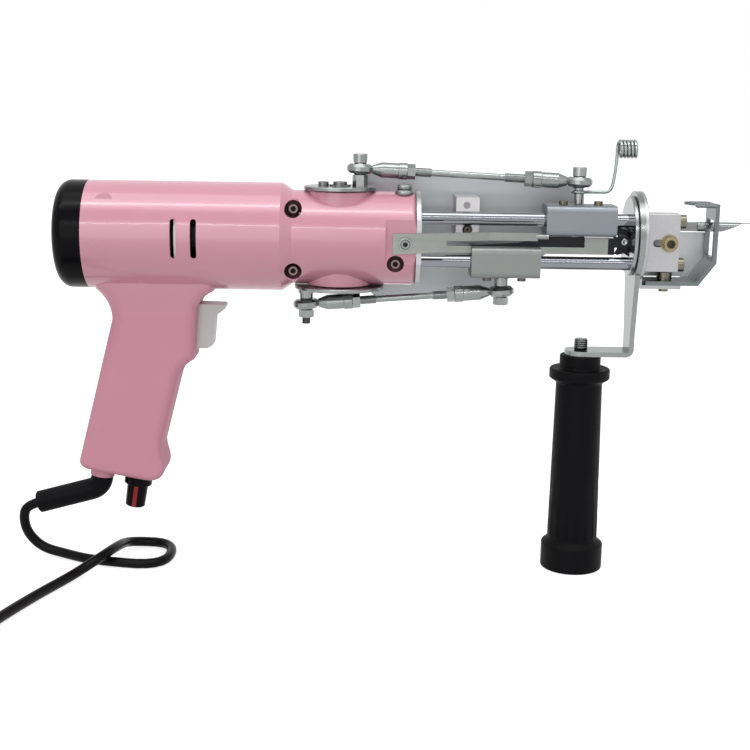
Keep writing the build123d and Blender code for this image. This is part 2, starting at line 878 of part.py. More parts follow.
def coil_path():
    """The coil's line: a straight end, quarter turns in, one climb, quarter turns out, a straight tail."""
    stations = coil_stations()
    places = [coil_point(*station)[0] for station in stations]
    headings = [coil_point(*station)[1] for station in stations]
    edges = [Line(Vector(*cord_route[-1]), places[0])]
    for index in range(len(places) - 1):
        edges += biarc(places[index], headings[index], places[index + 1], headings[index + 1])
    drop = places[-1].Z - floor_z - connector_r - tie_gap
    level_end = places[-1] + headings[-1] * tail_level
    landing = level_end + headings[-1] * tail_run + Vector(0, 0, -drop)
    edges.append(Line(places[-1], level_end))
    edges += biarc(level_end, headings[-1], landing, headings[-1])
    edges.append(Line(landing, landing + headings[-1] * cord_d))
    return edges


def least_gap(edges):
    """The least gap between parts of the coil that lie more than half a turn apart along it."""
    points = []
    along = 0
    for edge in edges:
        steps = max(2, ceil(edge.length / (cord_d / 2)))
        for step in range(steps):
            place = edge @ (step / steps)
            points.append((along + edge.length * step / steps, place.X, place.Y, place.Z))
        along += edge.length
    apart = pi * coil_mid_r / 2
    nearest = along
    for number, (at, x, y, z) in enumerate(points):
        for at_other, x_other, y_other, z_other in points[number + 1:]:
            if at_other - at > apart:
                nearest = min(nearest, hypot(x - x_other, y - y_other, z - z_other))
    return nearest - cord_d


def cord_coil():
    """The put-away length, wound in two layers as one tube."""
    edges = coil_path()
    path = Wire(edges)
    tube = sweep(Plane(origin=path @ 0, z_dir=path % 0) * Circle(cord_d / 2), path=path)
    print("coil length", round(path.length, 1), "volume over section times length",
          round(tube.volume / (pi * cord_d ** 2 / 4 * path.length), 4), "least gap", round(least_gap(edges), 2))
    return tube


def cord_connector():
    """The inline socket on the cord's end."""
    edges = coil_path()
    end = edges[-1] @ 1
    heading = edges[-1] % 1
    neck = Cone(connector_neck_r, connector_r, connector_neck, align=low_end)
    body = Pos(0, 0, connector_neck) * Cylinder(connector_r, connector_length - connector_neck, align=low_end)
    body = fillet(body.edges().sort_by(Axis.Z)[-1], edge_round)
    socket = Pos(0, 0, connector_length - connector_socket) * Cylinder(connector_socket_r, connector_socket + overrun,
                                                                      align=low_end)
    return Plane(origin=end, z_dir=heading) * (neck + body - socket)


def cord_tie():
    """A strap round the coil."""
    outer = coil_mid_r + coil_turn * coil_turns / 2
    inner = outer - coil_turn * coil_turns
    low = floor_z
    inside = [(coil_y + inner + coil_turn / 4 - cord_d / 2 - tie_slack,
               coil_y + outer - coil_turn * 3 / 4 + cord_d / 2 + tie_gap),
              (low + tie_sheet, lie + coil_lift + coil_layer + cord_d / 2 + tie_gap)]
    y, z = inside
    strap_x = (coil_x - tie_width / 2, coil_x + tie_width / 2)
    shell = block(strap_x, (y[0] - tie_sheet, y[1] + tie_sheet), (low, z[1] + tie_sheet))
    return shell - block((strap_x[0] - overrun, strap_x[1] + overrun), y, z)


# Motor, gears and gearbox

def motor_can():
    """The motor: its can with rounded rims and a raised nose round the shaft."""
    can = round_bar(motor_r, motor_back, motor_front)
    can = fillet(can.edges().filter_by(GeomType.CIRCLE), edge_round * 2)
    can += round_bar(motor_nose_r, motor_front, motor_front + motor_nose)
    can += round_bar(motor_tail_r, motor_back - motor_tail, motor_back)
    return can - round_bar(shaft_r + running_gap, motor_back - motor_tail - overrun, motor_front + motor_nose + overrun)


def motor_carrier():
    """The light ring that holds the motor in the barrel."""
    ring = round_bar(barrel_r - barrel_wall - seat_gap, carrier_back, carrier_front)
    return ring - round_bar(motor_r + seat_gap, carrier_back - overrun, carrier_front + overrun)


def bevel_tooth(pitch_r, other_r, turn):
    """One straight tooth of a bevel gear whose axis is Z and whose cones meet at the centre."""
    cone = hypot(pitch_r, other_r)
    outward = Vector(pitch_r * cos(turn), pitch_r * sin(turn), -other_r) / cone
    upward = Vector(other_r * cos(turn), other_r * sin(turn), pitch_r) / cone
    sideways = Vector(-sin(turn), cos(turn), 0)
    corners = [(-tooth_root_half, -tooth_down), (tooth_root_half, -tooth_down),
               (tooth_tip_half, tooth_up), (-tooth_tip_half, tooth_up)]
    outer = [outward * cone + sideways * side + upward * rise for side, rise in corners]
    inner = [point * ((cone - tooth_face) / cone) for point in outer]
    return loft([make_face(Polyline(*outer, close=True)), make_face(Polyline(*inner, close=True))], ruled=True)


def bevel_blank(pitch_r, other_r, depth, hub_r, hub_end):
    """The cone that the teeth stand on, with its hub, about Z."""
    cone = hypot(pitch_r, other_r)
    root = tooth_down - edge_round / 3
    rim_r = pitch_r - root * other_r / cone
    rim_z = -other_r - root * pitch_r / cone
    small = (cone - tooth_face) / cone
    profile = Polyline((0, rim_z * small), (rim_r * small, rim_z * small), (rim_r, rim_z),
                       (rim_r - depth * other_r / cone, rim_z - depth * pitch_r / cone),
                       (hub_r, rim_z - depth * pitch_r / cone), (hub_r, hub_end), (0, hub_end), close=True)
    return revolve(Plane.XZ * make_face(profile), Axis.Z)


def bevel_gear():
    """The large bevel gear on the crank shaft, cut for its shaft."""
    blank = bevel_blank(gear_pitch_r, pinion_pitch_r, gear_body / 2, gear_hub_r, -pinion_pitch_r - gear_body - gear_hub)
    step = 2 * pi / gear_teeth
    teeth = [bevel_tooth(gear_pitch_r, pinion_pitch_r, (number + 0.5) * step) for number in range(gear_teeth)]
    return blank + teeth - round_bar(crank_shaft_r, -gear_r, gear_r, "Z")


def bevel_pinion():
    """The small bevel gear on the motor shaft."""
    blank = bevel_blank(pinion_pitch_r, gear_pitch_r, tooth_face / 4, pinion_hub_r, pinion_hub_back)
    step = 2 * pi / pinion_teeth
    teeth = [bevel_tooth(pinion_pitch_r, gear_pitch_r, pi + number * step) for number in range(pinion_teeth)]
    upright = blank + teeth - round_bar(pinion_bore_r, pinion_hub_back - overrun, 0, "Z")
    return Rot(0, 90, 0) * upright


def motor_shaft():
    """The motor shaft, from the motor's tail to the pinion."""
    tip = round_bar(pinion_bore_r, pinion_hub_back, -gear_pitch_r + tooth_face)
    return round_bar(shaft_r, motor_back - motor_tail, pinion_hub_back) + tip


def gearbox_case():
    """The metal casting that holds the gears, the crank bearings and the guide rods' rear ends."""
    case_r = gear_r - gear_wall - seat_gap
    case = round_bar(case_r, gear_back, gear_front)
    case += round_bar(boss_r, -boss_top, boss_top, "Z")
    case -= round_bar(cavity_r, -cavity_half, cavity_half)
    case -= round_bar(shaft_r + free_gap, gear_back - overrun, 0)
    case -= round_bar(crank_shaft_r + free_gap, -gear_r, gear_r, "Z")
    for side in (-1, 1):
        far = side * (boss_top + overrun)
        near = side * (boss_top - bearing_length)
        case -= round_bar(bearing_r, min(far, near), max(far, near), "Z")
        case -= round_bar(guide_r, guide_back, gear_front + overrun, "X", (guide_y, side * guide_half))
    case -= round_bar(screw_r, case_screw_seat, case_screw_seat + case_screw_deep + seat_gap, "Y", case_screw)
    for x, z in guard_posts:
        case -= round_bar(screw_r, bar_screw_head_r, gear_r, "Y", (x, z))
    case -= round_bar(bar_screw_r, -gear_r, -gear_r / 2, "Y", (bar_screw_x, bar_screw_z))
    return case


def shaft_bearings():
    """Flanged bushes at both ends of the crank shaft."""
    top = round_bar(bearing_r, boss_top - bearing_length, boss_top, "Z")
    top += round_bar(bearing_flange_r, boss_top, boss_top + bearing_flange, "Z")
    top -= round_bar(crank_shaft_r + running_gap, 0, gear_r + overrun, "Z")
    return [top, mirror(top, Plane.XY)]


def front_plate():
    """The plate that closes the gear section and clamps the guide rods."""
    plate = round_bar(gear_r, gear_front, gear_front + ring_thick)
    plate = fillet(plate.edges().filter_by(GeomType.CIRCLE).sort_by(Axis.X)[-1], edge_round)
    for side in (-1, 1):
        plate -= round_bar(guide_r, gear_front - overrun, gear_front + 2 * ring_thick, "X", (guide_y, side * guide_half))
        plate -= side_flat(side)
    return plate


# Crank

def disc_face():
    """The height at which the crank discs start, above and below the gear section."""
    return boss_top + bearing_flange + disc_gap


def crank_shaft():
    """The upright shaft between the two discs."""
    return round_bar(crank_shaft_r, -disc_face(), disc_face(), "Z")


def crank_disc(radius, throw, screw_at):
    """A disc above the shaft's end with holes for its pin and a balance screw."""
    face = disc_face()
    disc = round_bar(radius, face, face + disc_thick, "Z")
    disc = chamfer(disc.edges().filter_by(GeomType.CIRCLE), edge_round / 2)
    disc -= round_bar(pin_r, 0, 2 * face, "Z", (throw, 0))
    disc -= round_bar(disc_screw_r / 2, 0, 2 * face, "Z", (screw_at, 0))
    return disc - round_bar(pin_r, 0, 2 * face, "Z")


def top_disc():
    """The upper disc, which drives the needle."""
    return crank_disc(top_disc_r, top_throw, -disc_screw_in)


def bottom_disc():
    """The lower disc, which drives the scissors, with a lug under its pin."""
    disc = crank_disc(bottom_disc_r, -bottom_throw, disc_screw_in)
    face = disc_face() + disc_thick
    lug = round_bar(lug_r, face, face + lug_height, "Z", (-bottom_throw, 0))
    disc += lug - round_bar(pin_r, 0, 2 * face, "Z", (-bottom_throw, 0))
    return mirror(disc, Plane.XY)


def disc_screws():
    """Hub screws with washers, and the small screw on each disc."""
    face = disc_face() + disc_thick
    washer = round_bar(hub_washer_r, face, face + hub_washer, "Z")
    hub = cap_screw(hub_screw_r, hub_screw_head, pin_r, disc_thick, screw_key, Rot(0, 0, 0), (0, 0, face + hub_washer))
    washer -= round_bar(pin_r, 0, 2 * face, "Z")
    hub += round_bar(pin_r, face - disc_thick, face, "Z")
    small = cap_screw(disc_screw_r, disc_screw_head, disc_screw_r / 2, disc_thick, screw_key, Rot(0, 0, 0),
                      (-disc_screw_in, 0, face))
    top = [washer + hub, small]
    return top + [Rot(0, 180, 0) * piece for piece in top]


def top_pin():
    """The upper crank pin: a bolt, two nuts under the rod end and its head over it."""
    x = top_throw
    face = disc_face() + disc_thick
    ball_low = top_eye_crank - ball_width / 2
    ball_high = top_eye_crank + ball_width / 2
    middle = (face + ball_low) / 2
    shank = round_bar(pin_r, disc_face(), ball_high, "Z", (x, 0))
    nuts = hex_bar(nut_flats, face, middle - running_gap, "Z", (x, 0)) + hex_bar(nut_flats, middle, ball_low - seat_gap,
                                                                               "Z", (x, 0))
    head = round_bar(bolt_head_r, ball_high + seat_gap, ball_high + bolt_head, "Z", (x, 0))
    head = fillet(head.edges().sort_by(Axis.Z)[-1], edge_round)
    neck = round_bar(pin_r, ball_high, ball_high + bolt_head / 2, "Z", (x, 0))
    return shank + nuts + head + neck


def bottom_pin():
    """The lower crank pin: a stud with a nut and its thread's end below the rod end."""
    x = -bottom_throw
    lug_low = -disc_face() - disc_thick - lug_height
    ball_high = bottom_eye_crank + ball_width / 2
    ball_low = bottom_eye_crank - ball_width / 2
    stud = round_bar(pin_r, ball_low - nut_high - thread_proud, -disc_face(), "Z", (x, 0))
    collar = round_bar(spacer_r, ball_high + seat_gap, lug_low, "Z", (x, 0))
    nut = hex_bar(nut_flats, ball_low - nut_high, ball_low - seat_gap, "Z", (x, 0))
    return stud + collar + nut


# Connecting rods, drawn along X from the crank eye and then tilted into place

def rod_frame(crank_x, crank_z, span, slider_z):
    """The frame of a connecting rod: origin at its crank eye, X towards the slider."""
    return Pos(crank_x, 0, crank_z) * Rot(0, degrees(atan2(crank_z - slider_z, span)), 0)


def rod_length(span, crank_z, slider_z):
    """The distance between a connecting rod's eyes."""
    return hypot(span, crank_z - slider_z)


def rod_end(bore_r):
    """A rod end at the origin with its shank along X: an eye, a neck and a threaded sleeve."""
    eye = Pos(0, 0, -eye_thick / 2) * Cylinder(eye_r, eye_thick, align=low_end)
    eye = chamfer(eye.edges().filter_by(GeomType.CIRCLE), eye_bevel)
    neck = round_bar(eye_thick / 2 - edge_round / 3, eye_r - edge_round, rod_end_neck, "X",
                     end_radius=rod_end_r)
    sleeve = round_bar(rod_end_r, rod_end_neck, rod_end_length - rod_end_collar)
    collar = round_bar(rod_end_collar_r, rod_end_length - rod_end_collar, rod_end_length)
    collar = chamfer(collar.edges().filter_by(GeomType.CIRCLE), edge_round / 2)
    body = eye + neck + sleeve + collar
    body -= round_bar(tie_thread_r, rod_end_length - rod_end_collar - overrun, rod_end_length + overrun)
    return body - Sphere(ball_r + running_gap)


def eye_ball(tilt, bore_r):
    """The ball in an eye, cut flat and bored upright for its bolt."""
    ball = Sphere(ball_r) & Box(2 * ball_r, 2 * ball_r, ball_width)
    ball -= round_bar(bore_r, -ball_r, ball_r, "Z")
    return Rot(0, -tilt, 0) * ball


def rod_tilt(span, crank_z, slider_z):
    """The tilt of a connecting rod, in degrees."""
    return degrees(atan2(crank_z - slider_z, span))


def rod_parts(crank_x, crank_z, span, slider_z):
    """The rod ends, balls, tie rod and lock nuts of one connecting rod."""
    frame = rod_frame(crank_x, crank_z, span, slider_z)
    length = rod_length(span, crank_z, slider_z)
    tilt = rod_tilt(span, crank_z, slider_z)
    far_end = Pos(length, 0, 0) * Rot(0, 0, 180)
    ends = [frame * rod_end(pin_r), frame * far_end * rod_end(pin_r)]
    balls = [frame * eye_ball(tilt, pin_r + running_gap), frame * Pos(length, 0, 0) * eye_ball(tilt, pin_r)]
    start = rod_end_length - rod_end_collar
    stop = length - start
    tie = round_bar(tie_r, start, stop)
    near_thread = start + rod_end_collar + jam_nut + tie_thread
    tie += round_bar(tie_thread_r, start, near_thread)
    tie += round_bar(tie_thread_r, length - near_thread, stop)
    nuts = []
    for low in (rod_end_length + seat_gap, length - rod_end_length - jam_nut):
        nut = hex_bar(jam_nut_flats, low, low + jam_nut - seat_gap)
        nuts.append(frame * (nut - round_bar(tie_thread_r, low - overrun, low + jam_nut + overrun)))
    return {"ends": ends, "balls": balls, "tie": frame * tie, "nuts": nuts}


def top_bolt_x():
    """Where the needle slider's bolt stands at rest."""
    return top_throw + top_rod


def bottom_bolt_x():
    """Where the scissor slider's bolt stands at rest."""
    return -bottom_throw + bottom_rod


def top_rod_bolt():
    """The bolt through the upper rod's front eye, with its post down to the needle slider."""
    x = top_bolt_x()
    slider_top = slider_half_gap + slider_height
    ball_low = top_eye_slider - ball_width / 2
    ball_high = top_eye_slider + ball_width / 2
    post = round_bar(pin_r + edge_round / 3, slider_top + free_gap, ball_low, "Z", (x, 0))
    shank = round_bar(pin_r, ball_low, ball_high, "Z", (x, 0))
    head = round_bar(bolt_head_r, ball_high, ball_high + bolt_head, "Z", (x, 0))
    return post + shank + fillet(head.edges().sort_by(Axis.Z)[-1], edge_round)


def wire_height():
    """The height of the yarn guide's wire where it lies under the rod end."""
    return top_eye_slider - ball_width / 2 - wire_r - seat_gap


def yarn_guide():
    """A bent wire clamped under the bolt, ending in a coiled eyelet of the same wire."""
    x = top_bolt_x()
    z = wire_height()
    lean = atan2(eyelet_pitch, 2 * pi * eyelet_r)
    corner = (x + wire_reach + wire_bend_r, 0, z)
    top = Vector(*corner) + Vector(sin(lean), 0, cos(lean)) * wire_rise
    stem = FilletPolyline((x + spacer_r, 0, z), corner, tuple(top), radius=wire_bend_r)
    helix = Helix(eyelet_pitch, eyelet_pitch * eyelet_turns, eyelet_r)
    curl = Pos(top.X, -eyelet_r, top.Z) * Rot(90, 0, 0) * Rot(0, 90, 0) * helix
    path = Wire(stem.edges() + curl.edges())
    wire = sweep(Plane(origin=path @ 0, z_dir=path % 0) * Circle(wire_r), path=path)
    print("yarn guide gap", round(eyelet_pitch - 2 * wire_r, 2), "length", round(path.length, 1), "volume share",
          round(wire.volume / (pi * wire_r ** 2 * path.length), 3), "eyelet at", [round(v, 2) for v in top])
    eye = round_bar(spacer_r + wire_r, z - wire_r, z + wire_r, "Z", (x, 0))
    eye -= round_bar(pin_r + edge_round / 3, z - 2 * wire_r, z + 2 * wire_r, "Z", (x, 0))
    return eye + wire


def bottom_rod_bolt():
    """The bolt through the lower rod's front eye, with its boss up to the scissor slider."""
    x = bottom_bolt_x()
    slider_low = -slider_half_gap - slider_height
    ball_low = bottom_eye_slider - ball_width / 2
    ball_high = bottom_eye_slider + ball_width / 2
    boss = round_bar(spacer_r, ball_high, slider_low - free_gap, "Z", (x, 0))
    shank = round_bar(pin_r, ball_low, ball_high, "Z", (x, 0))
    nut = hex_bar(nut_flats, ball_low - nut_high, ball_low, "Z", (x, 0))
    return boss + shank + nut


# Guide rods and sliders

def guide_rod(side):
    """A chromed guide rod from the gearbox to the rear disc, tapped for its nose screw."""
    at = (guide_y, side * guide_half)
    end = rear_disc_back + rear_disc_thick
    rod = round_bar(guide_r, guide_back, end, "X", at)
    return rod - round_bar(nose_screw_r, end - nose_screw_grip, end + overrun, "X", at)


def slider_body(side, middle, length):
    """A slider block: rounded along its edges, bored for the guide rod's bushes."""
    low, high = sorted((side * slider_half_gap, side * (slider_half_gap + slider_height)))
    body = block((middle - length / 2, middle + length / 2), (slider_near, slider_far), (low, high))
    long_edges = body.edges().filter_by(Axis.X)
    body = fillet(long_edges, slider_round)
    at = (guide_y, side * guide_half)
    return body - round_bar(guide_r + bush_wall, middle - length, middle + length, "X", at)


def set_screws(side, middle):
    """The two socket screws that hold a slider's bushes, standing a little proud."""
    face = slider_half_gap + slider_height
    screws = []
    for x in (middle - set_screw_apart / 2, middle + set_screw_apart / 2):
        screw = round_bar(set_screw_r, face - set_screw_deep, face + set_screw_head, "Z", (x, guide_y))
        screw -= hex_key_hole(x, face + set_screw_head)
        screws.append(screw if side > 0 else mirror(screw, Plane.XY))
    return screws


def hex_key_hole(x, top):
    """The key socket in a set screw's end."""
    return hex_bar(set_screw_r, top - set_screw_head / 2, top + overrun, "Z", (x, guide_y))


def set_screw_holes(side, middle):
    """Threads of the set screws in a slider."""
    face = slider_half_gap + slider_height
    low, high = sorted((side * (face - set_screw_deep), side * (face + overrun)))
    return [round_bar(set_screw_r, low, high, "Z", (x, guide_y))
            for x in (middle - set_screw_apart / 2, middle + set_screw_apart / 2)]


def bushes(side, middle, length):
    """The two bushes that run on a guide rod inside a slider."""
    at = (guide_y, side * guide_half)
    each = length / 3
    pieces = []
    for start in (middle - length / 2, middle + length / 2 - each):
        bush = round_bar(guide_r + bush_wall, start, start + each, "X", at)
        pieces.append(bush - round_bar(guide_r + running_gap, start - overrun, start + each + overrun, "X", at))
    return pieces


def needle_middle():
    """The middle of the needle slider at rest."""
    return top_bolt_x() + top_slider_ahead


def scissor_middle():
    """The middle of the scissor slider at rest."""
    return bottom_bolt_x() + bottom_slider_ahead


def needle_slider():
    """The upper slider, slotted for the needle bar."""
    middle = needle_middle()
    body = slider_body(1, middle, top_slider_length)
    body -= needle_bar_blank(0)
    for hole in set_screw_holes(1, middle):
        body -= hole
    return body


def needle_bar_blank(gap):
    """The space that the needle bar fills."""
    half = needle_bar_thick / 2 + gap
    return block((needle_bar_back - gap, needle_bar_front), (needle_y - half, needle_y + half),
                 (needle_z - needle_bar_half - gap, needle_z + needle_bar_half + gap))


def needle_bar():
    """The flat bar that carries the needle."""
    bar = needle_bar_blank(0)
    return bar - round_bar(needle_r, needle_back, needle_tip, "X", (needle_y, needle_z))


def needle():
    """The hollow needle: a tube cut slantwise to an open scoop that ends in a thin point."""
    tube = round_bar(needle_r, needle_back, needle_scarf_end, "X", (needle_y, needle_z))
    tube -= round_bar(needle_bore_r, needle_back - overrun, needle_tip, "X", (needle_y, needle_z))
    top = needle_z + needle_r - 2 * needle_tip_r
    low = needle_z - needle_r - overrun
    cut = side_plate([(needle_scarf, low), (needle_tip, low), (needle_tip, top), (needle_scarf_end, top)],
                     needle_y - needle_r - overrun, needle_y + needle_r + overrun)
    point_z = needle_z + needle_r - needle_tip_r
    point = round_bar(needle_tip_r, needle_scarf, needle_tip, "X", (needle_y, point_z),
                      end_radius=needle_tip_r / 3)
    return (tube - cut) + point


def strip_blank(gap):
    """The space of the strip that carries the scissors."""
    near = strip_near()
    return block((strip_back - gap, scissor_block_back), (near - gap, near + strip_thick + gap),
                 (strip_low - gap, strip_high + gap))


def scissor_slider():
    """The lower slider, slotted for the scissor strip."""
    middle = scissor_middle()
    body = slider_body(-1, middle, bottom_slider_length)
    body -= strip_blank(0)
    for hole in set_screw_holes(-1, middle):
        body -= hole
    return body


def scissor_strip():
    """The flat strip through the lower slider."""
    return strip_blank(0)


def strip_near():
    """The near face of the strip and of the scissor block."""
    return guide_y - strip_thick / 2


def scissor_block():
    """The block on the strip's front with the plate that holds the blades' pivot."""
    near = strip_near()
    body = block((scissor_block_back, scissor_block_front), (near, scissor_block_far), (strip_low, scissor_block_top))
    body = fillet(body.edges().filter_by(Axis.Y), edge_round)
    plate = block((scissor_block_front - overrun, pivot_x), (near, near + pivot_plate),
                  (-pivot_plate_half, pivot_plate_half))
    plate += round_bar(pivot_plate_half, near, near + pivot_plate, "Y", (pivot_x, 0))
    return body + plate - round_bar(pivot_r, -gear_r, gear_r, "Y", (pivot_x, 0))


def blade_near_face(side):
    """The near face of a blade: the one that opens downwards lies nearer."""
    first = strip_near() + pivot_plate + blade_gap
    return first if side < 0 else first + blade_thick + blade_gap


def scissor_pivot():
    """The pivot pin with its head on the near side."""
    near = strip_near()
    far = blade_near_face(1) + blade_thick + blade_gap
    pin = round_bar(pivot_r, near, far, "Y", (pivot_x, 0))
    head = round_bar(pivot_head_r, near - pivot_head, near, "Y", (pivot_x, 0))
    head = fillet(head.edges().sort_by(Axis.Y)[0], edge_round)
    return pin + head + round_bar(pivot_head_r, far, far + pivot_head / 2, "Y", (pivot_x, 0))


def scissor_blade(side):
    """One blade, opened about the pivot: a pointed cutting end ahead and a short tail behind."""
    outline = Polyline(*[(x, 0, side * z) for x, z in blade_points], close=True)
    blade = extrude(make_face(outline), blade_thick, dir=(0, 1, 0))
    blade -= round_bar(pivot_r + running_gap, -blade_thick, 2 * blade_thick, "Y")
    return Pos(pivot_x, blade_near_face(side), 0) * Rot(0, -side * blade_open, 0) * blade


# Opening bar, guard sheet

def opening_bar():
    """The fixed bar beside the sliders: a wide root, a step, a jog inwards and a narrow nose with a pin."""
    near = bar_y - bar_thick
    root = side_plate([(bar_back, bar_top), (bar_back, bar_low), (bar_step, bar_mid_low), (bar_step, bar_front_low),
                       (bar_bend, bar_front_low), (bar_bend, bar_front_top)], near, bar_y)
    jog_y = bar_y_front - bar_y
    jog_end = bar_bend + 2 * abs(jog_y)
    outline = Polyline((bar_bend, near), (jog_end, near + jog_y), (bar_end, near + jog_y), (bar_end, bar_y_front),
                       (jog_end, bar_y_front), (bar_bend, bar_y), close=True)
    nose = extrude(Pos(0, 0, bar_front_low) * make_face(outline), bar_front_top - bar_front_low)
    middle = (bar_front_low + bar_front_top) / 2
    pin = round_bar(bar_pin_r, bar_end - overrun, bar_pin_end, "X", (bar_y_front - bar_thick / 2, middle))
    body = root + nose + pin
    return body - round_bar(bar_screw_r, near - overrun, 0, "Y", (bar_screw_x, bar_screw_z))


def bar_screw():
    """The socket screw that holds the opening bar."""
    near = bar_y - bar_thick
    return cap_screw(bar_screw_head_r, bar_screw_head, bar_screw_r, near + gear_r - gear_r / 2 - near - bar_thick / 2,
                     screw_key, nearer(1), (bar_screw_x, near, bar_screw_z))


def guard_sheet_plate():
    """The long tapering sheet on the far side, with a hole for each screw."""
    points = [(guard_back, guard_top), (guard_front, guard_front_top), (guard_front, guard_front_low),
              (guard_low_front, guard_low_end), (guard_back + ring_r / 3, guard_low), (guard_back, guard_low + ring_r / 3)]
    sheet_plate = side_plate(points, guard_y, guard_y + guard_sheet)
    sheet_plate = fillet(sheet_plate.edges().filter_by(Axis.Y), front_round)
    for at in guard_posts + [standoff_screw, standoff_pin]:
        sheet_plate -= round_bar(screw_r, guard_y - overrun, guard_y + 2 * guard_sheet, "Y", at)
    return sheet_plate


def guard_post(at):
    """A spacer between the gear section's flat and the guard sheet."""
    post = round_bar(post_r, -bar_y, guard_y, "Y", at)
    return post - round_bar(screw_r, 0, 2 * guard_y, "Y", at)


def standoff():
    """The block between the guard sheet and the upper guide rod, grooved for the rod."""
    body = block(standoff_x, (standoff_near, guard_y), (standoff_low, standoff_high))
    body -= round_bar(guide_r + seat_gap, standoff_x[0] - overrun, standoff_x[1] + overrun, "X", (guide_y, guide_half))
    body -= round_bar(standoff_pin_r, standoff_near - overrun, guard_y + overrun, "Y", standoff_pin)
    return body - round_bar(screw_r, standoff_near - overrun, guard_y + overrun, "Y", standoff_screw)


def guard_screws():
    """The screws that hold the guard sheet on its posts and on the standoff block."""
    outer = guard_y + guard_sheet
    screws = []
    for x, z in guard_posts:
        screws.append(cap_screw(screw_head_r, screw_head, screw_r, outer - bar_screw_head_r - seat_gap, screw_key,
                                nearer(-1), (x, outer, z)))
    x, z = standoff_screw
    screws.append(cap_screw(standoff_head_r, screw_head / 2, screw_r, outer - standoff_near, screw_key, nearer(1),
                            (x, standoff_near, z)))
    x, z = standoff_pin
    pin = round_bar(standoff_pin_r, standoff_near - edge_round / 2, guard_y, "Y", (x, z))
    return screws + [pin]


# Nose

def ring_back():
    """Where the bracket ring starts."""
    return rear_disc_back + rear_disc_thick + ring_gap


def plate_back():
    """Where the nose plate starts."""
    return ring_back() + ring_thick + ring_gap


def nose_window(x_from, x_to):
    """The opening for the needle bar and the blades."""
    return block((x_from - overrun, x_to + overrun), (needle_y - window_half, needle_y + window_half),
                 (window_low, window_high))


def rod_screw_holes(x_from, x_to, radius):
    """Holes on the guide rods' axes."""
    return [round_bar(radius, x_from - overrun, x_to + overrun, "X", (guide_y, side * guide_half)) for side in (-1, 1)]


def rear_disc():
    """The round disc that the guide rods end in."""
    back = rear_disc_back
    front = back + rear_disc_thick
    disc = round_bar(rear_disc_r, back, front, "X", (0, nose_rise))
    disc = fillet(disc.edges().filter_by(GeomType.CIRCLE), edge_round)
    disc -= window_clear(back, front)
    for hole in rod_screw_holes(back, front, guide_r):
        disc -= hole
    return disc


def window_clear(x_from, x_to):
    """The nose window less the rod seats, so that the rods stay held."""
    window = block((x_from - overrun, x_to + overrun), (guide_y + guide_r + edge_round, needle_y + window_half),
                   (window_low, window_high))
    low = block((x_from - overrun, x_to + overrun), (needle_y - window_half, needle_y),
                (window_low, guide_half - guide_r - edge_round))
    return window + low


def nose_plate():
    """The bent front plate: a disc with a hub for the bracket ring, a tab below and a cheek on the far side."""
    back = plate_back()
    front = back + sheet
    disc = round_bar(front_plate_r, back, front, "X", (0, nose_rise))
    disc = fillet(disc.edges().filter_by(GeomType.CIRCLE).sort_by(Axis.X)[-1], edge_round)
    hub = round_bar(hub_r, rear_disc_back + rear_disc_thick, back, "X", (0, nose_rise))
    tab_root = block((back, front), (-tab_half, tab_half), (tab_top - tab_thick, 0))
    tab = block((back, tab_front), (-tab_half, tab_half), (tab_top - tab_thick, tab_top))
    bend = tab_root + tab
    bend = fillet(bend.edges().filter_by(Axis.Y).sort_by(Axis.Z)[:2].sort_by(Axis.X)[:1], sheet - edge_round / 2)
    cheek_low = tab_top + foot_thick + free_gap
    slope = foot_face - foot_thick - foot_toe
    cheek = side_plate([(back, cheek_low), (foot_toe - foot_thick - edge_round, cheek_low),
                        (cheek_front, cheek_low + slope), (cheek_front, cheek_top), (back, cheek_top)],
                       cheek_y, cheek_y + cheek_thick)
    body = disc + hub + bend + cheek
    body -= window_clear(rear_disc_back, front)
    for hole in rod_screw_holes(rear_disc_back, front, nose_screw_r + seat_gap):
        body -= hole
    return body - round_bar(foot_bolt_r, tab_top - 2 * tab_thick, tab_top + overrun, "Z", (foot_bolt_x, 0))


def nose_block():
    """The light block in front of the plate: two limbs on the guide rod screws and a slotted web."""
    back = plate_back() + sheet
    body = block((back, block_front), (block_near, block_far), (block_low, block_top))
    body = fillet(body.edges().filter_by(Axis.X).sort_by(Axis.Y)[:2], edge_round)
    body -= block((back - overrun, block_front + overrun), (block_near + block_web, block_far + overrun),
                  (-block_gap_half, block_gap_half))
    slot = block((slot_start + slot_half, clamp_x), (block_near - overrun, block_near + block_web + overrun),
                 (clamp_z - slot_half, clamp_z + slot_half))
    slot += round_bar(slot_half, block_near - overrun, block_near + block_web + overrun, "Y",
                      (slot_start + slot_half, clamp_z))
    slot += round_bar(clamp_screw_r, block_near - overrun, block_near + block_web + overrun, "Y", (clamp_x, clamp_z))
    body -= slot
    for hole in rod_screw_holes(back, block_front, nose_screw_r + seat_gap):
        body -= hole
    return body


def nose_screws():
    """The cap screws that pull the nose onto the guide rods."""
    end = rear_disc_back + rear_disc_thick - nose_screw_grip + overrun
    return [cap_screw(nose_screw_head_r, nose_screw_head, nose_screw_r, block_front - end, screw_key,
                      Rot(0, 90, 0), (block_front, guide_y, side * guide_half)) for side in (-1, 1)]


def clamp_screw():
    """The clamp screw on the near side of the block, over its washer."""
    washer = round_bar(clamp_washer_r, block_near - clamp_washer, block_near, "Y", (clamp_x, clamp_z))
    screw = cap_screw(clamp_head_r, clamp_head, clamp_screw_r, clamp_washer + block_web, screw_key, nearer(1),
                      (clamp_x, block_near - clamp_washer, clamp_z))
    return washer + screw


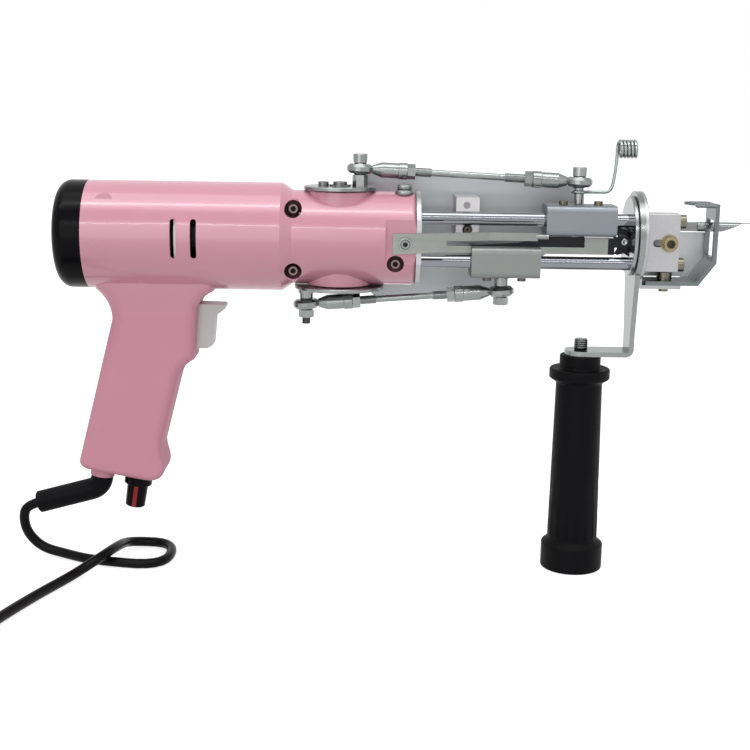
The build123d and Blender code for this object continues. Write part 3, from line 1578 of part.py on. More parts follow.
def presser_foot():
    """The foot: a strip under the nose that turns up in front of it, with a window and two prongs."""
    low = tab_top
    face = foot_face
    rise = foot_face_low
    points = [(foot_back, low), (foot_toe, low), (face, rise), (face, foot_top),
              (face - foot_thick, foot_top), (face - foot_thick, rise + foot_thick * 0.4),
              (foot_toe - foot_thick * 0.4, low + foot_thick), (foot_back, low + foot_thick)]
    body = side_plate(points, -foot_half, foot_half)
    outer = [edge for edge in body.edges().filter_by(Axis.Y) if edge.center().X > foot_toe - foot_thick]
    body = fillet(outer, edge_round)
    inner = foot_half - foot_leg
    body -= block((foot_toe, face + overrun), (-inner, inner), (foot_window_low, foot_window_high))
    for side in (-1, 1):
        middle = side * (foot_half - foot_prong_width / 2)
        half = foot_prong_width / 2
        reach = foot_prong if side > 0 else foot_prong * 0.8
        body += block((face - foot_thick - reach, face - edge_round), (middle - half, middle + half),
                      (foot_top - foot_prong_thick, foot_top))
    return body - round_bar(foot_bolt_r + seat_gap, low - overrun, low + 2 * foot_thick, "Z", (foot_bolt_x, 0))


def foot_bolt():
    """The bolt that holds the foot on the tab, with its nut below."""
    top = tab_top + foot_thick
    low = tab_top - tab_thick
    body = cap_screw(foot_bolt_head_r, foot_bolt_head, foot_bolt_r - seat_gap / 2,
                     foot_thick + tab_thick + foot_nut_thick, screw_key, Rot(0, 0, 0), (foot_bolt_x, 0, top))
    return body


# Handle

def handle_bracket():
    """The bracket: a ring round the nose hub, a tapering arm and a shelf with a round end."""
    back = ring_back()
    front = back + ring_thick
    arm = extrude(Plane.YZ * Pos(0, 0, back) * make_face(arm_outline()), ring_thick)
    ring = round_bar(ring_r, back, front, "X", (0, nose_rise))
    body = ring + arm
    body -= round_bar(hub_r + running_gap + seat_gap / 4, back - overrun, front + overrun, "X", (0, nose_rise))
    shelf = block((stud_x, front), (-shelf_half, shelf_half), (arm_low, arm_low + shelf_thick))
    shelf += round_bar(shelf_half, arm_low, arm_low + shelf_thick, "Z", (stud_x, 0))
    body += shelf
    corner = [edge for edge in body.edges().filter_by(Axis.Y)
              if edge.center().Z < arm_low + overrun / 2 and edge.center().X > front - overrun]
    body = fillet(corner, bracket_bend_r)
    return body - round_bar(stud_r, arm_low - overrun, arm_low + shelf_thick + overrun, "Z", (stud_x, 0))


def arm_outline():
    """The arm seen along the barrel: wide at the ring, narrow at the shelf."""
    return Polyline((-arm_half_top, nose_rise - ring_r / 2), (arm_half_top, nose_rise - ring_r / 2),
                    (arm_half_top, nose_rise - ring_r + edge_round), (shelf_half, arm_low + ring_r / 2),
                    (shelf_half, arm_low), (-shelf_half, arm_low), (-shelf_half, arm_low + ring_r / 2),
                    (-arm_half_top, nose_rise - ring_r + edge_round), close=True)


def handle_stud():
    """The threaded stud that holds the side grip under the shelf."""
    stud = round_bar(stud_r, grip_top - stud_deep, stud_top, "Z", (stud_x, 0))
    return chamfer(stud.edges().sort_by(Axis.Z)[-1], edge_round)


def side_grip():
    """The rubber side grip: collar, flange, swelling body with flutes and a wide foot."""
    top = arm_low - seat_gap
    flange_top = top - grip_collar
    flange_low = flange_top - grip_flange
    foot_top = floor_z + grip_foot
    profile = Polyline((0, top), (grip_collar_r, top), (grip_collar_r, flange_top), (grip_flange_r, flange_top),
                       (grip_flange_r, flange_low), (side_grip_top_r, flange_low - grip_flange / 2),
                       (side_grip_low_r, foot_top + grip_flange / 2), (grip_foot_r, foot_top),
                       (grip_foot_r, floor_z), (0, floor_z), close=True)
    grip = revolve(Plane.XZ * make_face(profile), Axis.Z)
    rims = [edge for edge in grip.edges().filter_by(GeomType.CIRCLE) if edge.radius > grip_collar_r - overrun]
    grip = fillet(rims, edge_round * 2)
    grip = Pos(stud_x, 0, 0) * grip
    start = foot_top + grip_flange
    stop = flange_low - grip_flange
    for number in range(grip_flutes):
        turn = 2 * pi * number / grip_flutes
        low_x = stud_x + (side_grip_low_r + flute_r / 2) * cos(turn)
        low_y = (side_grip_low_r + flute_r / 2) * sin(turn)
        grip -= round_bar(flute_r, start, stop, "Z", (low_x, low_y))
    return grip - round_bar(stud_r, grip_top - stud_deep - overrun, top + overrun, "Z", (stud_x, 0))


# The parts, one node each

def write_parts():
    """Draw every node, move it to the hand grip's frame and write it."""
    os.makedirs("parts", exist_ok=True)
    shell = housing()
    upper = rod_parts(top_throw, top_eye_crank, top_rod, top_eye_slider)
    lower = rod_parts(-bottom_throw, bottom_eye_crank, bottom_rod, bottom_eye_slider)
    nodes = {
        "housing_right": parted(shell, -1),
        "housing_left": parted(shell, 1),
        "rear_cap": rear_cap(),
        "housing_screws": housing_screws(),
        "trigger": trigger(),
        "trigger_switch": trigger_switch(),
        "speed_control": speed_control(),
        "speed_knob": speed_knob(),
        "knob_line": knob_line(),
        "cord_guard": cord_guard(),
        "power_cord": power_cord(),
        "cord_coil": cord_coil(),
        "cord_connector": cord_connector(),
        "cord_tie": cord_tie(),
        "motor_can": motor_can(),
        "motor_carrier": motor_carrier(),
        "motor_shaft": motor_shaft(),
        "bevel_pinion": bevel_pinion(),
        "bevel_gear": bevel_gear(),
        "gearbox_case": gearbox_case(),
        "shaft_bearings": shaft_bearings(),
        "front_plate": front_plate(),
        "crank_shaft": crank_shaft(),
        "top_disc": top_disc(),
        "bottom_disc": bottom_disc(),
        "disc_screws": disc_screws(),
        "top_crank_pin": top_pin(),
        "bottom_crank_pin": bottom_pin(),
        "top_rod_ends": upper["ends"],
        "top_rod_balls": upper["balls"],
        "top_tie_rod": upper["tie"],
        "top_lock_nuts": upper["nuts"],
        "top_rod_bolt": top_rod_bolt(),
        "yarn_guide": yarn_guide(),
        "bottom_rod_ends": lower["ends"],
        "bottom_rod_balls": lower["balls"],
        "bottom_tie_rod": lower["tie"],
        "bottom_lock_nuts": lower["nuts"],
        "bottom_rod_bolt": bottom_rod_bolt(),
        "upper_guide_rod": guide_rod(1),
        "lower_guide_rod": guide_rod(-1),
        "needle_slider": needle_slider(),
        "needle_slider_fittings": set_screws(1, needle_middle()) + bushes(1, needle_middle(), top_slider_length),
        "needle_bar": needle_bar(),
        "needle": needle(),
        "scissor_slider": scissor_slider(),
        "scissor_slider_fittings": set_screws(-1, scissor_middle()) + bushes(-1, scissor_middle(), bottom_slider_length),
        "scissor_carrier": [scissor_strip(), scissor_block(), scissor_pivot()],
        "lower_scissor_blade": scissor_blade(-1),
        "upper_scissor_blade": scissor_blade(1),
        "opening_bar": opening_bar(),
        "guard_sheet": guard_sheet_plate(),
        "guard_fittings": [guard_post(at) for at in guard_posts] + [standoff()] + guard_screws(),
        "rear_disc": rear_disc(),
        "nose_plate": nose_plate(),
        "nose_block": nose_block(),
        "nose_screws": nose_screws() + [clamp_screw(), bar_screw(), foot_bolt()],
        "presser_foot": presser_foot(),
        "handle_bracket": handle_bracket(),
        "side_grip": [side_grip(), handle_stud()],
    }
    for name, shape in nodes.items():
        pieces = shape if isinstance(shape, list) else [shape]
        placed = [Pos(crank_ahead, 0, barrel_above) * piece for piece in pieces]
        solids = [solid for piece in placed for solid in piece.solids()]
        export_step(solids[0] if len(solids) == 1 else Compound(solids), f"parts/{name}.step")


write_parts()
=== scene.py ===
"""A handheld tufting machine: materials, cord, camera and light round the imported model."""
import json
import math

import bpy
from mathutils import Matrix, Vector


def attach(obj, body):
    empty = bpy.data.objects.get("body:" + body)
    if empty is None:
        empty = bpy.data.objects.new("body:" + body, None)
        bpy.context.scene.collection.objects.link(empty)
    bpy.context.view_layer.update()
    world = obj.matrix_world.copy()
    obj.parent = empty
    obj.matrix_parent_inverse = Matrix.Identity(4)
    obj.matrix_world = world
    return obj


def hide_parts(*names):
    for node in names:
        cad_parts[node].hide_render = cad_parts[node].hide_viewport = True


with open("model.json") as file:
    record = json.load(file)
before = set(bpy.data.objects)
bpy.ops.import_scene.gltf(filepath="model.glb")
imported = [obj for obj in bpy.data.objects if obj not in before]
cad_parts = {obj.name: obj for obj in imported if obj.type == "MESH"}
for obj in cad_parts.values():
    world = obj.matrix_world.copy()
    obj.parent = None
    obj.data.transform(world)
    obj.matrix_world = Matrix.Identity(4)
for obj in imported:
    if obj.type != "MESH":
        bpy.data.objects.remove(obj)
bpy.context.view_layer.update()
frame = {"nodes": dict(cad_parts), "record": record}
nodes = frame["nodes"]

MM = 0.001

# Places in the row frame, from the part's own sizes, in millimetres
CRANK = Vector((113.0, 0.0, 60.0))
FLOOR_Z = -207.5
CORD_D = 6.2
LIE = FLOOR_Z + CORD_D / 2


def at(x, y, z):
    """A point given from the crank centre in millimetres, as a point of the row frame in metres."""
    return (CRANK + Vector((x, y, z))) * MM


# Node helpers

def new_material(name):
    """An empty node material and its shader, joined to the output."""
    material = bpy.data.materials.new(name)
    material.use_nodes = True
    tree = material.node_tree
    tree.nodes.clear()
    output = tree.nodes.new("ShaderNodeOutputMaterial")
    shader = tree.nodes.new("ShaderNodeBsdfPrincipled")
    tree.links.new(shader.outputs["BSDF"], output.inputs["Surface"])
    return material, tree, shader


def own_place(tree):
    """Object coordinates, which are the row frame's in metres."""
    return tree.nodes.new("ShaderNodeTexCoord").outputs["Object"]


def object_place(tree, stretch=(1, 1, 1)):
    """Object coordinates, stretched along the axes."""
    mapping = tree.nodes.new("ShaderNodeMapping")
    mapping.inputs["Scale"].default_value = stretch
    tree.links.new(own_place(tree), mapping.inputs["Vector"])
    return mapping.outputs["Vector"]


def noise(tree, place, scale, detail=3.0, roughness=0.5):
    """A noise pattern's value."""
    node = tree.nodes.new("ShaderNodeTexNoise")
    node.inputs["Scale"].default_value = scale
    node.inputs["Detail"].default_value = detail
    node.inputs["Roughness"].default_value = roughness
    tree.links.new(place, node.inputs["Vector"])
    return node.outputs["Fac"]


def spread(tree, value, low, high, from_low=0.1, from_high=0.9):
    """A pattern's value mapped to a range."""
    node = tree.nodes.new("ShaderNodeMapRange")
    node.inputs["From Min"].default_value = from_low
    node.inputs["From Max"].default_value = from_high
    node.inputs["To Min"].default_value = low
    node.inputs["To Max"].default_value = high
    tree.links.new(value, node.inputs["Value"])
    return node.outputs["Result"]


def two_tone(tree, value, dark, light, low=0.2, high=0.8):
    """A pattern's value as a smooth blend of two colours."""
    ramp = tree.nodes.new("ShaderNodeValToRGB")
    ramp.color_ramp.interpolation = "EASE"
    ramp.color_ramp.elements[0].position = low
    ramp.color_ramp.elements[0].color = (*dark, 1)
    ramp.color_ramp.elements[1].position = high
    ramp.color_ramp.elements[1].color = (*light, 1)
    tree.links.new(value, ramp.inputs["Fac"])
    return ramp.outputs["Color"]


def bump(tree, shader, layers):
    """Bumps over one another, each a pattern and its height in metres."""
    normal = None
    for value, height in layers:
        node = tree.nodes.new("ShaderNodeBump")
        node.inputs["Strength"].default_value = 1.0
        node.inputs["Distance"].default_value = height
        tree.links.new(value, node.inputs["Height"])
        if normal is not None:
            tree.links.new(normal, node.inputs["Normal"])
        normal = node.outputs["Normal"]
    tree.links.new(normal, shader.inputs["Normal"])


def vector_math(tree, operation, first, second=None):
    """One vector operation on a link, with a constant where it takes a second value."""
    node = tree.nodes.new("ShaderNodeVectorMath")
    node.operation = operation
    tree.links.new(first, node.inputs[0])
    if second is not None:
        node.inputs[1].default_value = second
    return node.outputs["Vector"]


def length_of(tree, vector):
    """A vector's length."""
    node = tree.nodes.new("ShaderNodeVectorMath")
    node.operation = "LENGTH"
    tree.links.new(vector, node.inputs[0])
    return node.outputs["Value"]


def join_math(tree, operation, first, second):
    """One operation on two links."""
    node = tree.nodes.new("ShaderNodeMath")
    node.operation = operation
    tree.links.new(first, node.inputs[0])
    tree.links.new(second, node.inputs[1])
    return node.outputs["Value"]


def below(tree, value, limit):
    """One where a value is under a limit, else zero."""
    node = tree.nodes.new("ShaderNodeMath")
    node.operation = "LESS_THAN"
    node.inputs[1].default_value = limit
    tree.links.new(value, node.inputs[0])
    return node.outputs["Value"]


def parted(tree, vector):
    """A vector's three parts, by axis."""
    node = tree.nodes.new("ShaderNodeSeparateXYZ")
    tree.links.new(vector, node.inputs["Vector"])
    return node.outputs


def inside(tree, low, high, round_axis=None):
    """One inside a box given from the crank centre in millimetres, or inside the round bar in it, else zero."""
    corner, other = at(*low), at(*high)
    half = (other - corner) / 2
    shift = vector_math(tree, "SUBTRACT", own_place(tree), (corner + other) / 2)
    if round_axis is not None:
        scale = [1 / side for side in half]
        scale["XYZ".index(round_axis)] = 0.0
        return below(tree, length_of(tree, vector_math(tree, "MULTIPLY", shift, scale)), 1.0)
    past = parted(tree, vector_math(tree, "SUBTRACT", vector_math(tree, "ABSOLUTE", shift), half))
    return below(tree, join_math(tree, "MAXIMUM", join_math(tree, "MAXIMUM", past["X"], past["Y"]), past["Z"]), 0.0)


def shaded(colour, share):
    """A colour made darker or lighter by a share."""
    return tuple(min(1.0, channel * share) for channel in colour)


def zoned(tree, value, colour, change, zones):
    """The pattern in a colour, and in another colour inside each zone."""
    result = two_tone(tree, value, shaded(colour, 1 - change), shaded(colour, 1 + change))
    for low, high, other, *round_axis in zones:
        mix = tree.nodes.new("ShaderNodeMix")
        mix.data_type = "RGBA"
        tree.links.new(inside(tree, low, high, *round_axis), mix.inputs["Factor"])
        tree.links.new(result, mix.inputs["A"])
        tree.links.new(two_tone(tree, value, shaded(other, 1 - change), shaded(other, 1 + change)), mix.inputs["B"])
        result = mix.outputs["Result"]
    return result


# How far a round zone reaches to either side in mm, which is past the whole part
DEPTH = 99.0


def disc_zone(x, z, radius, colour):
    """A round zone through the whole depth, about a point seen from the side."""
    return (x - radius, -DEPTH, z - radius), (x + radius, DEPTH, z + radius), colour, "Y"


# Patterns: noise cells a metre, the patches' share in metal, how far roughness strays, and the coat's roughness
TONE_SCALE = 9
GLOSS_SCALE = 60
RIPPLE_SCALE = 45
RIPPLE_STRETCH = (0.4, 1, 1)
PATCH_SCALE = 60
PATCH_SHARE = 0.35
PLASTIC_ROUGH_RANGE = (0.8, 1.25)
METAL_ROUGH_RANGE = (0.75, 1.35)
COAT_ROUGH = 0.05

# Heights from the crank centre in mm between which the shell's gloss fades into the matt grip, and how matt it gets
GRIP_MATT_BELOW = -52.0
BARREL_GLOSS_ABOVE = -26.0
MATT_EXTRA_ROUGH = 0.4


def matt_share(tree, zones):
    """One inside the zones and down the grip, zero on the barrel."""
    height = parted(tree, own_place(tree))["Z"]
    share = spread(tree, height, 1.0, 0.0, at(0, 0, GRIP_MATT_BELOW).z, at(0, 0, BARREL_GLOSS_ABOVE).z)
    for low, high, _, *round_axis in zones:
        share = join_math(tree, "MAXIMUM", share, inside(tree, low, high, *round_axis))
    return share


def plastic(name, colour, rough, grain, coat=0.0, change=0.04, gloss=0.5, ripple=0.0, zones=()):
    """Moulded plastic or rubber: faint tone changes, uneven gloss, a fine grain and a slow ripple."""
    material, tree, shader = new_material(name)
    place = object_place(tree)
    tree.links.new(zoned(tree, noise(tree, place, TONE_SCALE, 2), colour, change, zones), shader.inputs["Base Color"])
    least, most = (rough * share for share in PLASTIC_ROUGH_RANGE)
    uneven = spread(tree, noise(tree, place, GLOSS_SCALE, 5), least, most)
    shader.inputs["Specular IOR Level"].default_value = gloss
    if coat:
        share = matt_share(tree, zones)
        tree.links.new(spread(tree, share, coat, 0.0, 0.0, 1.0), shader.inputs["Coat Weight"])
        uneven = join_math(tree, "ADD", uneven, spread(tree, share, 0.0, MATT_EXTRA_ROUGH, 0.0, 1.0))
    tree.links.new(uneven, shader.inputs["Roughness"])
    shader.inputs["Coat Roughness"].default_value = COAT_ROUGH
    scale, height = grain
    bump(tree, shader, [(noise(tree, object_place(tree, RIPPLE_STRETCH), RIPPLE_SCALE, 1), ripple),
                        (noise(tree, place, scale, 2), height)])
    return material


def metal(name, colour, rough, stretch=(1, 1, 1), scale=300, change=0.08, height=0.00001, blotch=0.0, zones=()):
    """Metal with fine marks along one direction, patchy tone and uneven gloss."""
    material, tree, shader = new_material(name)
    shader.inputs["Metallic"].default_value = 1.0
    marks = noise(tree, object_place(tree, stretch), scale, 6, 0.6)
    patches = noise(tree, object_place(tree), PATCH_SCALE, 4, 0.6)
    blend = tree.nodes.new("ShaderNodeMix")
    blend.inputs["Factor"].default_value = PATCH_SHARE + blotch
    tree.links.new(marks, blend.inputs["A"])
    tree.links.new(patches, blend.inputs["B"])
    mixed = blend.outputs["Result"]
    tree.links.new(zoned(tree, mixed, colour, change, zones), shader.inputs["Base Color"])
    least, most = (rough * share for share in METAL_ROUGH_RANGE)
    tree.links.new(spread(tree, mixed, least, most), shader.inputs["Roughness"])
    bump(tree, shader, [(marks, height)])
    return material


# Stretch of a metal's marks, and the colours used more than once
ALONG_X = (0.02, 1, 1)
ALL_WAYS = (1, 1, 1)
PINK = (0.70, 0.305, 0.41)
ZINC = (0.235, 0.25, 0.245)
GOLD = (0.265, 0.22, 0.13)
OLIVE = (0.155, 0.15, 0.12)
DARK = (0.02, 0.02, 0.022)
# The dark brown of a hex socket, painted as shade
SOCKET_SHADE = (0.05, 0.045, 0.03)
BLADE = (0.05, 0.05, 0.055)
SPRING = (0.225, 0.24, 0.225)
BRASSY = (0.10, 0.09, 0.075)
# Painted shade: the dark red that fills each near screw well, where the well lies deep in shadow
WELL_SHADE_RED = (0.06, 0.008, 0.012)

# The shell screws that show from the near side, then those on the far side, in mm from the crank centre
NEAR_SCREWS = [(-27.0, 18.4), (-27.0, -18.4), (33.6, -13.0)]
FAR_SCREWS = [(-128.2, -62.0), (-142.0, -126.0), (-138.0, 20.0)]
# The radius of each near well's painted shade and matt zone, then each screw head's rings: a lighter ring, and a
# socket painted dark as shade
WELL_R = 5.12
SCREW_RING_AND_SOCKET_SHADE = [(2.6, (0.17, 0.13, 0.13)), (1.6, (0.012, 0.01, 0.01))]


def screw_heads_with_painted_shade():
    """Each shell screw's head: a reddish dark rim of painted well shade, a lighter ring and a socket painted dark as
    shade.
    """
    return [disc_zone(*place, radius, colour) for place in NEAR_SCREWS + FAR_SCREWS for radius, colour in SCREW_RING_AND_SOCKET_SHADE]


MATERIALS = {
    # The near screw wells in the pink shell are painted dark red as shade
    "pink_shell": plastic("pink_shell", PINK, 0.24, (900, 0.000003), coat=0.35, change=0.015, ripple=0.00008,
                          zones=[disc_zone(*place, WELL_R, WELL_SHADE_RED) for place in NEAR_SCREWS]),
    "black_plastic": plastic("black_plastic", (0.0022, 0.0022, 0.0032), 0.22, (2500, 0.000006), gloss=0.06),
    "light_grey_plastic": plastic("light_grey_plastic", (0.60, 0.585, 0.585), 0.42, (2600, 0.00001)),
    "red_plastic": plastic("red_plastic", (0.30, 0.012, 0.012), 0.38, (1800, 0.000008), gloss=0.3),
    "white_plastic": plastic("white_plastic", (0.80, 0.80, 0.79), 0.4, (1500, 0.000008)),
    "black_rubber": plastic("black_rubber", (0.003, 0.0027, 0.0037), 0.5, (3200, 0.00002), change=0.15, gloss=0.07),
    "cord_sheath": plastic("cord_sheath", (0.004, 0.0035, 0.0045), 0.3, (2600, 0.00001), change=0.15, gloss=0.09),
    "chrome_steel": metal("chrome_steel", (0.215, 0.225, 0.245), 0.09, ALONG_X, 900, 0.06, 0.000001),
    "zinc_steel": metal("zinc_steel", ZINC, 0.24, ALL_WAYS, 260, 0.14, 0.000003, 0.2),
    "dark_steel": metal("dark_steel", DARK, 0.34, ALL_WAYS, 500, 0.2, 0.00001),
    "spring_steel": metal("spring_steel", SPRING, 0.30, ALONG_X, 420, 0.12, 0.000004, 0.1),
    "anodised_aluminium": metal("anodised_aluminium", (0.195, 0.212, 0.232), 0.44, ALONG_X, 500, 0.05, 0.000006),
    "cast_aluminium": metal("cast_aluminium", (0.40, 0.405, 0.405), 0.40, ALL_WAYS, 500, 0.08, 0.00002),
    "grey_sheet": metal("grey_sheet", (0.355, 0.37, 0.38), 0.42, ALONG_X, 380, 0.06, 0.000004, 0.15),
    "bronze": metal("bronze", BRASSY, 0.38, ALL_WAYS, 600, 0.18, 0.00001),
}

# Nodes that show more than one finish, or a truer one than their slot's, some with painted shade in sockets, wells
# and gaps: boxes in mm from the crank centre
SPECIAL = {
    "nose_block": metal("nose_block", (0.38, 0.378, 0.388), 0.36, ALL_WAYS, 700, 0.07, 0.000012),
    # The nose screw's dark socket, and the bar screw's dark outer ring and dark centre, are painted shade
    "nose_screws": metal("nose_screws", OLIVE, 0.26, ALL_WAYS, 600, 0.16, 0.000008, 0.2, [
        ((190, -19, -6), (205, -9, 7), GOLD), ((195.0, -DEPTH, -2.2), (200.2, DEPTH, 3.0), SOCKET_SHADE, "Y"),
        ((34, -31, -6), (45, -13, 5), ZINC), disc_zone(39.2, -0.9, 3.0, (0.10, 0.10, 0.10)),
        disc_zone(39.2, -0.9, 2.3, ZINC), disc_zone(39.2, -0.9, 1.5, DARK)]),
    # The screws' reddish near-black is painted shade from their deep wells; the zones add each head's lighter ring
    # and its socket's painted shade
    "housing_screws": metal("housing_screws", (0.028, 0.010, 0.011), 0.4, ALL_WAYS, 500, 0.15, 0.00001, 0.0,
                            screw_heads_with_painted_shade()),
    # The carrier's front end by the rear disc is painted dark as shade
    "scissor_carrier": metal("scissor_carrier", SPRING, 0.30, ALONG_X, 420, 0.12, 0.000004, 0.1,
                             [((162, -9, -9), (182, 3, 5), DARK)]),
    "scissor_slider": metal("scissor_slider", (0.20, 0.212, 0.205), 0.44, ALONG_X, 500, 0.05, 0.000006),
    "disc_screws": metal("disc_screws", (0.16, 0.165, 0.165), 0.28, ALL_WAYS, 500, 0.15, 0.00001, 0.1),
    "top_rod_bolt": metal("top_rod_bolt", (0.27, 0.285, 0.28), 0.24, ALL_WAYS, 400, 0.12, 0.000006, 0.2),
    "needle_slider_fittings": metal("needle_slider_fittings", BRASSY, 0.32, ALL_WAYS, 600, 0.16,
                                    0.00001, 0.1, [((120, -10, 18.5), (170, -2, 26), (0.13, 0.115, 0.08))]),
    "scissor_slider_fittings": metal("scissor_slider_fittings", BRASSY, 0.32, ALL_WAYS, 600, 0.16,
                                     0.00001, 0.1, [((70, -10, -26), (130, -2, -18.5), (0.10, 0.10, 0.095))]),
    "bottom_crank_pin": metal("bottom_crank_pin", ZINC, 0.24, ALL_WAYS, 300, 0.14, 0.000006, 0.2,
                              [((-26, -6, -54), (-14, 6, -49.4), (0.05, 0.05, 0.048))]),
    # The guard screw's dark centre is painted shade in its socket
    "guard_fittings": metal("guard_fittings", (0.44, 0.43, 0.44), 0.40, ALL_WAYS, 500, 0.06, 0.00001, 0.1,
                            [disc_zone(77.0, 6.2, 3.0, DARK), disc_zone(77.0, 6.2, 1.9, (0.12, 0.10, 0.09)),
                             disc_zone(77.0, 6.2, 0.9, DARK), disc_zone(76.4, 20.8, 2.1, (0.2, 0.2, 0.2))]),
    "upper_scissor_blade": metal("upper_scissor_blade", BLADE, 0.3, ALONG_X, 500, 0.15, 0.000006),
    "lower_scissor_blade": metal("lower_scissor_blade", BLADE, 0.3, ALONG_X, 500, 0.15, 0.000006),
    "needle": metal("needle", (0.19, 0.205, 0.205), 0.2, ALONG_X, 700, 0.08, 0.000002),
    "needle_bar": metal("needle_bar", (0.20, 0.21, 0.205), 0.26, ALONG_X, 500, 0.1, 0.000003),
    "presser_foot": metal("presser_foot", (0.15, 0.165, 0.165), 0.28, ALL_WAYS, 260, 0.14, 0.000005, 0.2),
    "rear_disc": metal("rear_disc", (0.27, 0.285, 0.285), 0.22, ALL_WAYS, 260, 0.16, 0.000005, 0.2),
    "nose_plate": metal("nose_plate", (0.36, 0.37, 0.37), 0.34, ALL_WAYS, 260, 0.06, 0.000001, 0.4,
                        [((183, 11, -23), (225, 14.5, 6), (0.42, 0.42, 0.43))]),
}


def dress_nodes():
    """Give each carried-over node its slot's material, or its own where it has one."""
    slots = {entry["node"]: entry["material_slot"] for entry in frame["record"]["subparts"]}
    for name, node in nodes.items():
        node.data.materials.clear()
        node.data.materials.append(SPECIAL.get(name, MATERIALS[slots[name]]))


dress_nodes()


# Small pieces that the solids leave plain

def finish_piece(piece, body, slot, *replaced, material=None):
    """Material and body of a new piece, the material from its slot unless one is given, with the parts it replaces
    hidden.
    """
    piece.data.materials.append(material or MATERIALS[slot])
    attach(piece, body)
    if replaced:
        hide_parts(*replaced)


def mesh_piece(name, points, faces, smooth=True):
    """A mesh object of points in metres."""
    mesh = bpy.data.meshes.new(name)
    mesh.from_pydata([tuple(point) for point in points], [], faces)
    mesh.polygons.foreach_set("use_smooth", [smooth] * len(mesh.polygons))
    piece = bpy.data.objects.new(name, mesh)
    bpy.context.scene.collection.objects.link(piece)
    return piece


def skin(count, rows, closed=False):
    """Faces between rows of points, with both ends capped, or with the last row joined to the first."""
    faces = [] if closed else [tuple(range(count))[::-1], tuple(range((rows - 1) * count, rows * count))]
    for row in range(rows if closed else rows - 1):
        here, there = row * count, (row + 1) % rows * count
        for number in range(count):
            after = (number + 1) % count
            faces.append((here + number, here + after, there + after, there + number))
    return faces


# The angle above which a hollow ring's edges stay sharp
HOLLOW_CREASE = math.radians(40)


def rings(name, origin, along, profile, sides, hollow=False):
    """A turned shape of rings, each a distance along the axis and a radius, or a function that gives it."""
    along = Vector(along).normalized()
    side = along.orthogonal().normalized()
    up = along.cross(side)
    points = []
    for distance, radius in profile:
        for number in range(sides):
            angle = 2 * math.pi * number / sides
            reach = radius(number / sides) if callable(radius) else radius
            spot = Vector(origin) + along * distance + (side * math.cos(angle) + up * math.sin(angle)) * reach
            points.append(at(*spot))
    piece = mesh_piece(name, points, skin(sides, len(profile), hollow))
    if hollow:
        piece.data.set_sharp_from_angle(angle=HOLLOW_CREASE)
    return piece


# Rings a turn and sides of a thread's skin
THREAD_STEPS = 6
THREAD_SIDES = 20
THREAD_METAL = metal("thread_metal", (0.15, 0.16, 0.155), 0.24, ALL_WAYS, 500, 0.12, 0.000003, 0.1)

# Radius, pitch and depth of each kind of thread, the rods' directions from crank to slider, then each thread's
# name, body, start, direction, length and kind
ROD_THREAD = (2.5, 1.0, 0.16)
STUD_THREAD = (3.9, 1.25, 0.35)
TOP_ROD = Vector((132, 0, -6))
BOTTOM_ROD = Vector((119, 0, 9.3))
THREADS = [("top_thread_rear", "needle_rod", (45.4, 0, 39.9), TOP_ROD, 9.5, ROD_THREAD),
           ("top_thread_front", "needle_rod", (110.6, 0, 36.9), -TOP_ROD, 11.5, ROD_THREAD),
           ("bottom_thread_rear", "scissor_rod", (13.5, 0, -38.3), BOTTOM_ROD, 9.0, ROD_THREAD),
           ("stud_thread", "handle", (149.6, 0, -66.8), (0, 0, 1), 6.5, STUD_THREAD),
           ("bottom_thread_front", "scissor_rod", (65.5, 0, -34.25), -BOTTOM_ROD, 8.0, ROD_THREAD)]


def thread(name, body, origin, along, length, sizes):
    """A screw thread over a plain rod: a skin whose radius rises and falls once a turn."""
    radius, pitch, depth = sizes

    def profile_at(distance):
        run_out = min(1.0, distance / pitch, (length - distance) / pitch)

        def reach(turn):
            phase = (distance / pitch - turn) % 1
            return radius + depth * run_out * (1 - abs(2 * phase - 1))
        return reach

    steps = round(length / pitch * THREAD_STEPS)
    rows = [length * step / steps for step in range(steps + 1)]
    piece = rings(name, origin, along, [(row, profile_at(row)) for row in rows], THREAD_SIDES)
    finish_piece(piece, body, "zinc_steel", material=THREAD_METAL)


def threads():
    """The threads that show: both tie rods at their nuts, and the side grip's stud."""
    for entry in THREADS:
        thread(*entry)


ROUNDING_STEPS = 3


def side_piece(name, outline, near, far, edge):
    """A plate of an outline seen from the side, with its edges rounded."""
    count = len(outline)
    points = [at(x, y, z) for y in (near, far) for x, z in outline]
    faces = [tuple(range(count)), tuple(range(count, 2 * count))[::-1]]
    faces += [(number, number + count, (number + 1) % count + count, (number + 1) % count) for number in range(count)]
    piece = mesh_piece(name, points, faces, smooth=False)
    rounding = piece.modifiers.new("edges", "BEVEL")
    rounding.width = edge * MM
    rounding.segments = ROUNDING_STEPS
    return piece


# Outlines seen from the side and sections of turned pieces, in mm from the crank centre
LEVER = [(80, -3.5), (147.7, -3.5), (147.7, 3.0), (121, 2.5), (108, -1.0), (80, -2.7)]
UPPER_SHANK = [(180, 3.2), (176, 5.6), (168.3, 9.2), (166.3, 8.4), (167.5, 4.6), (172, -1.4)]
LOWER_SHANK = [(172, 1.4), (167.5, -4.6), (166.3, -7.1), (168.3, -7.9), (176, -5.6), (180, -3.2)]
CHEEK_EDGE = [(218, 5.1), (226.4, 5.1), (226.4, -14.4), (217.2, -23.6), (210.5, -23.6), (218, -15.5)]
FINGER = [(212.6, 21.7), (225.5, 21.7), (225.5, 24.2), (212.6, 24.2)]
FINGER_WIDTH = 4.2
PIVOT_HEAD = [(0, 2.3), (0.9, 2.3), (1.4, 1.8), (1.5, 0.9), (1.0, 0.7)]
SHANK_THICK = 1.42
PIVOT_PLACE = (171.8, -7.15, 0.4)
PAD_BASE = 26.15
PAD_SIDES = 96
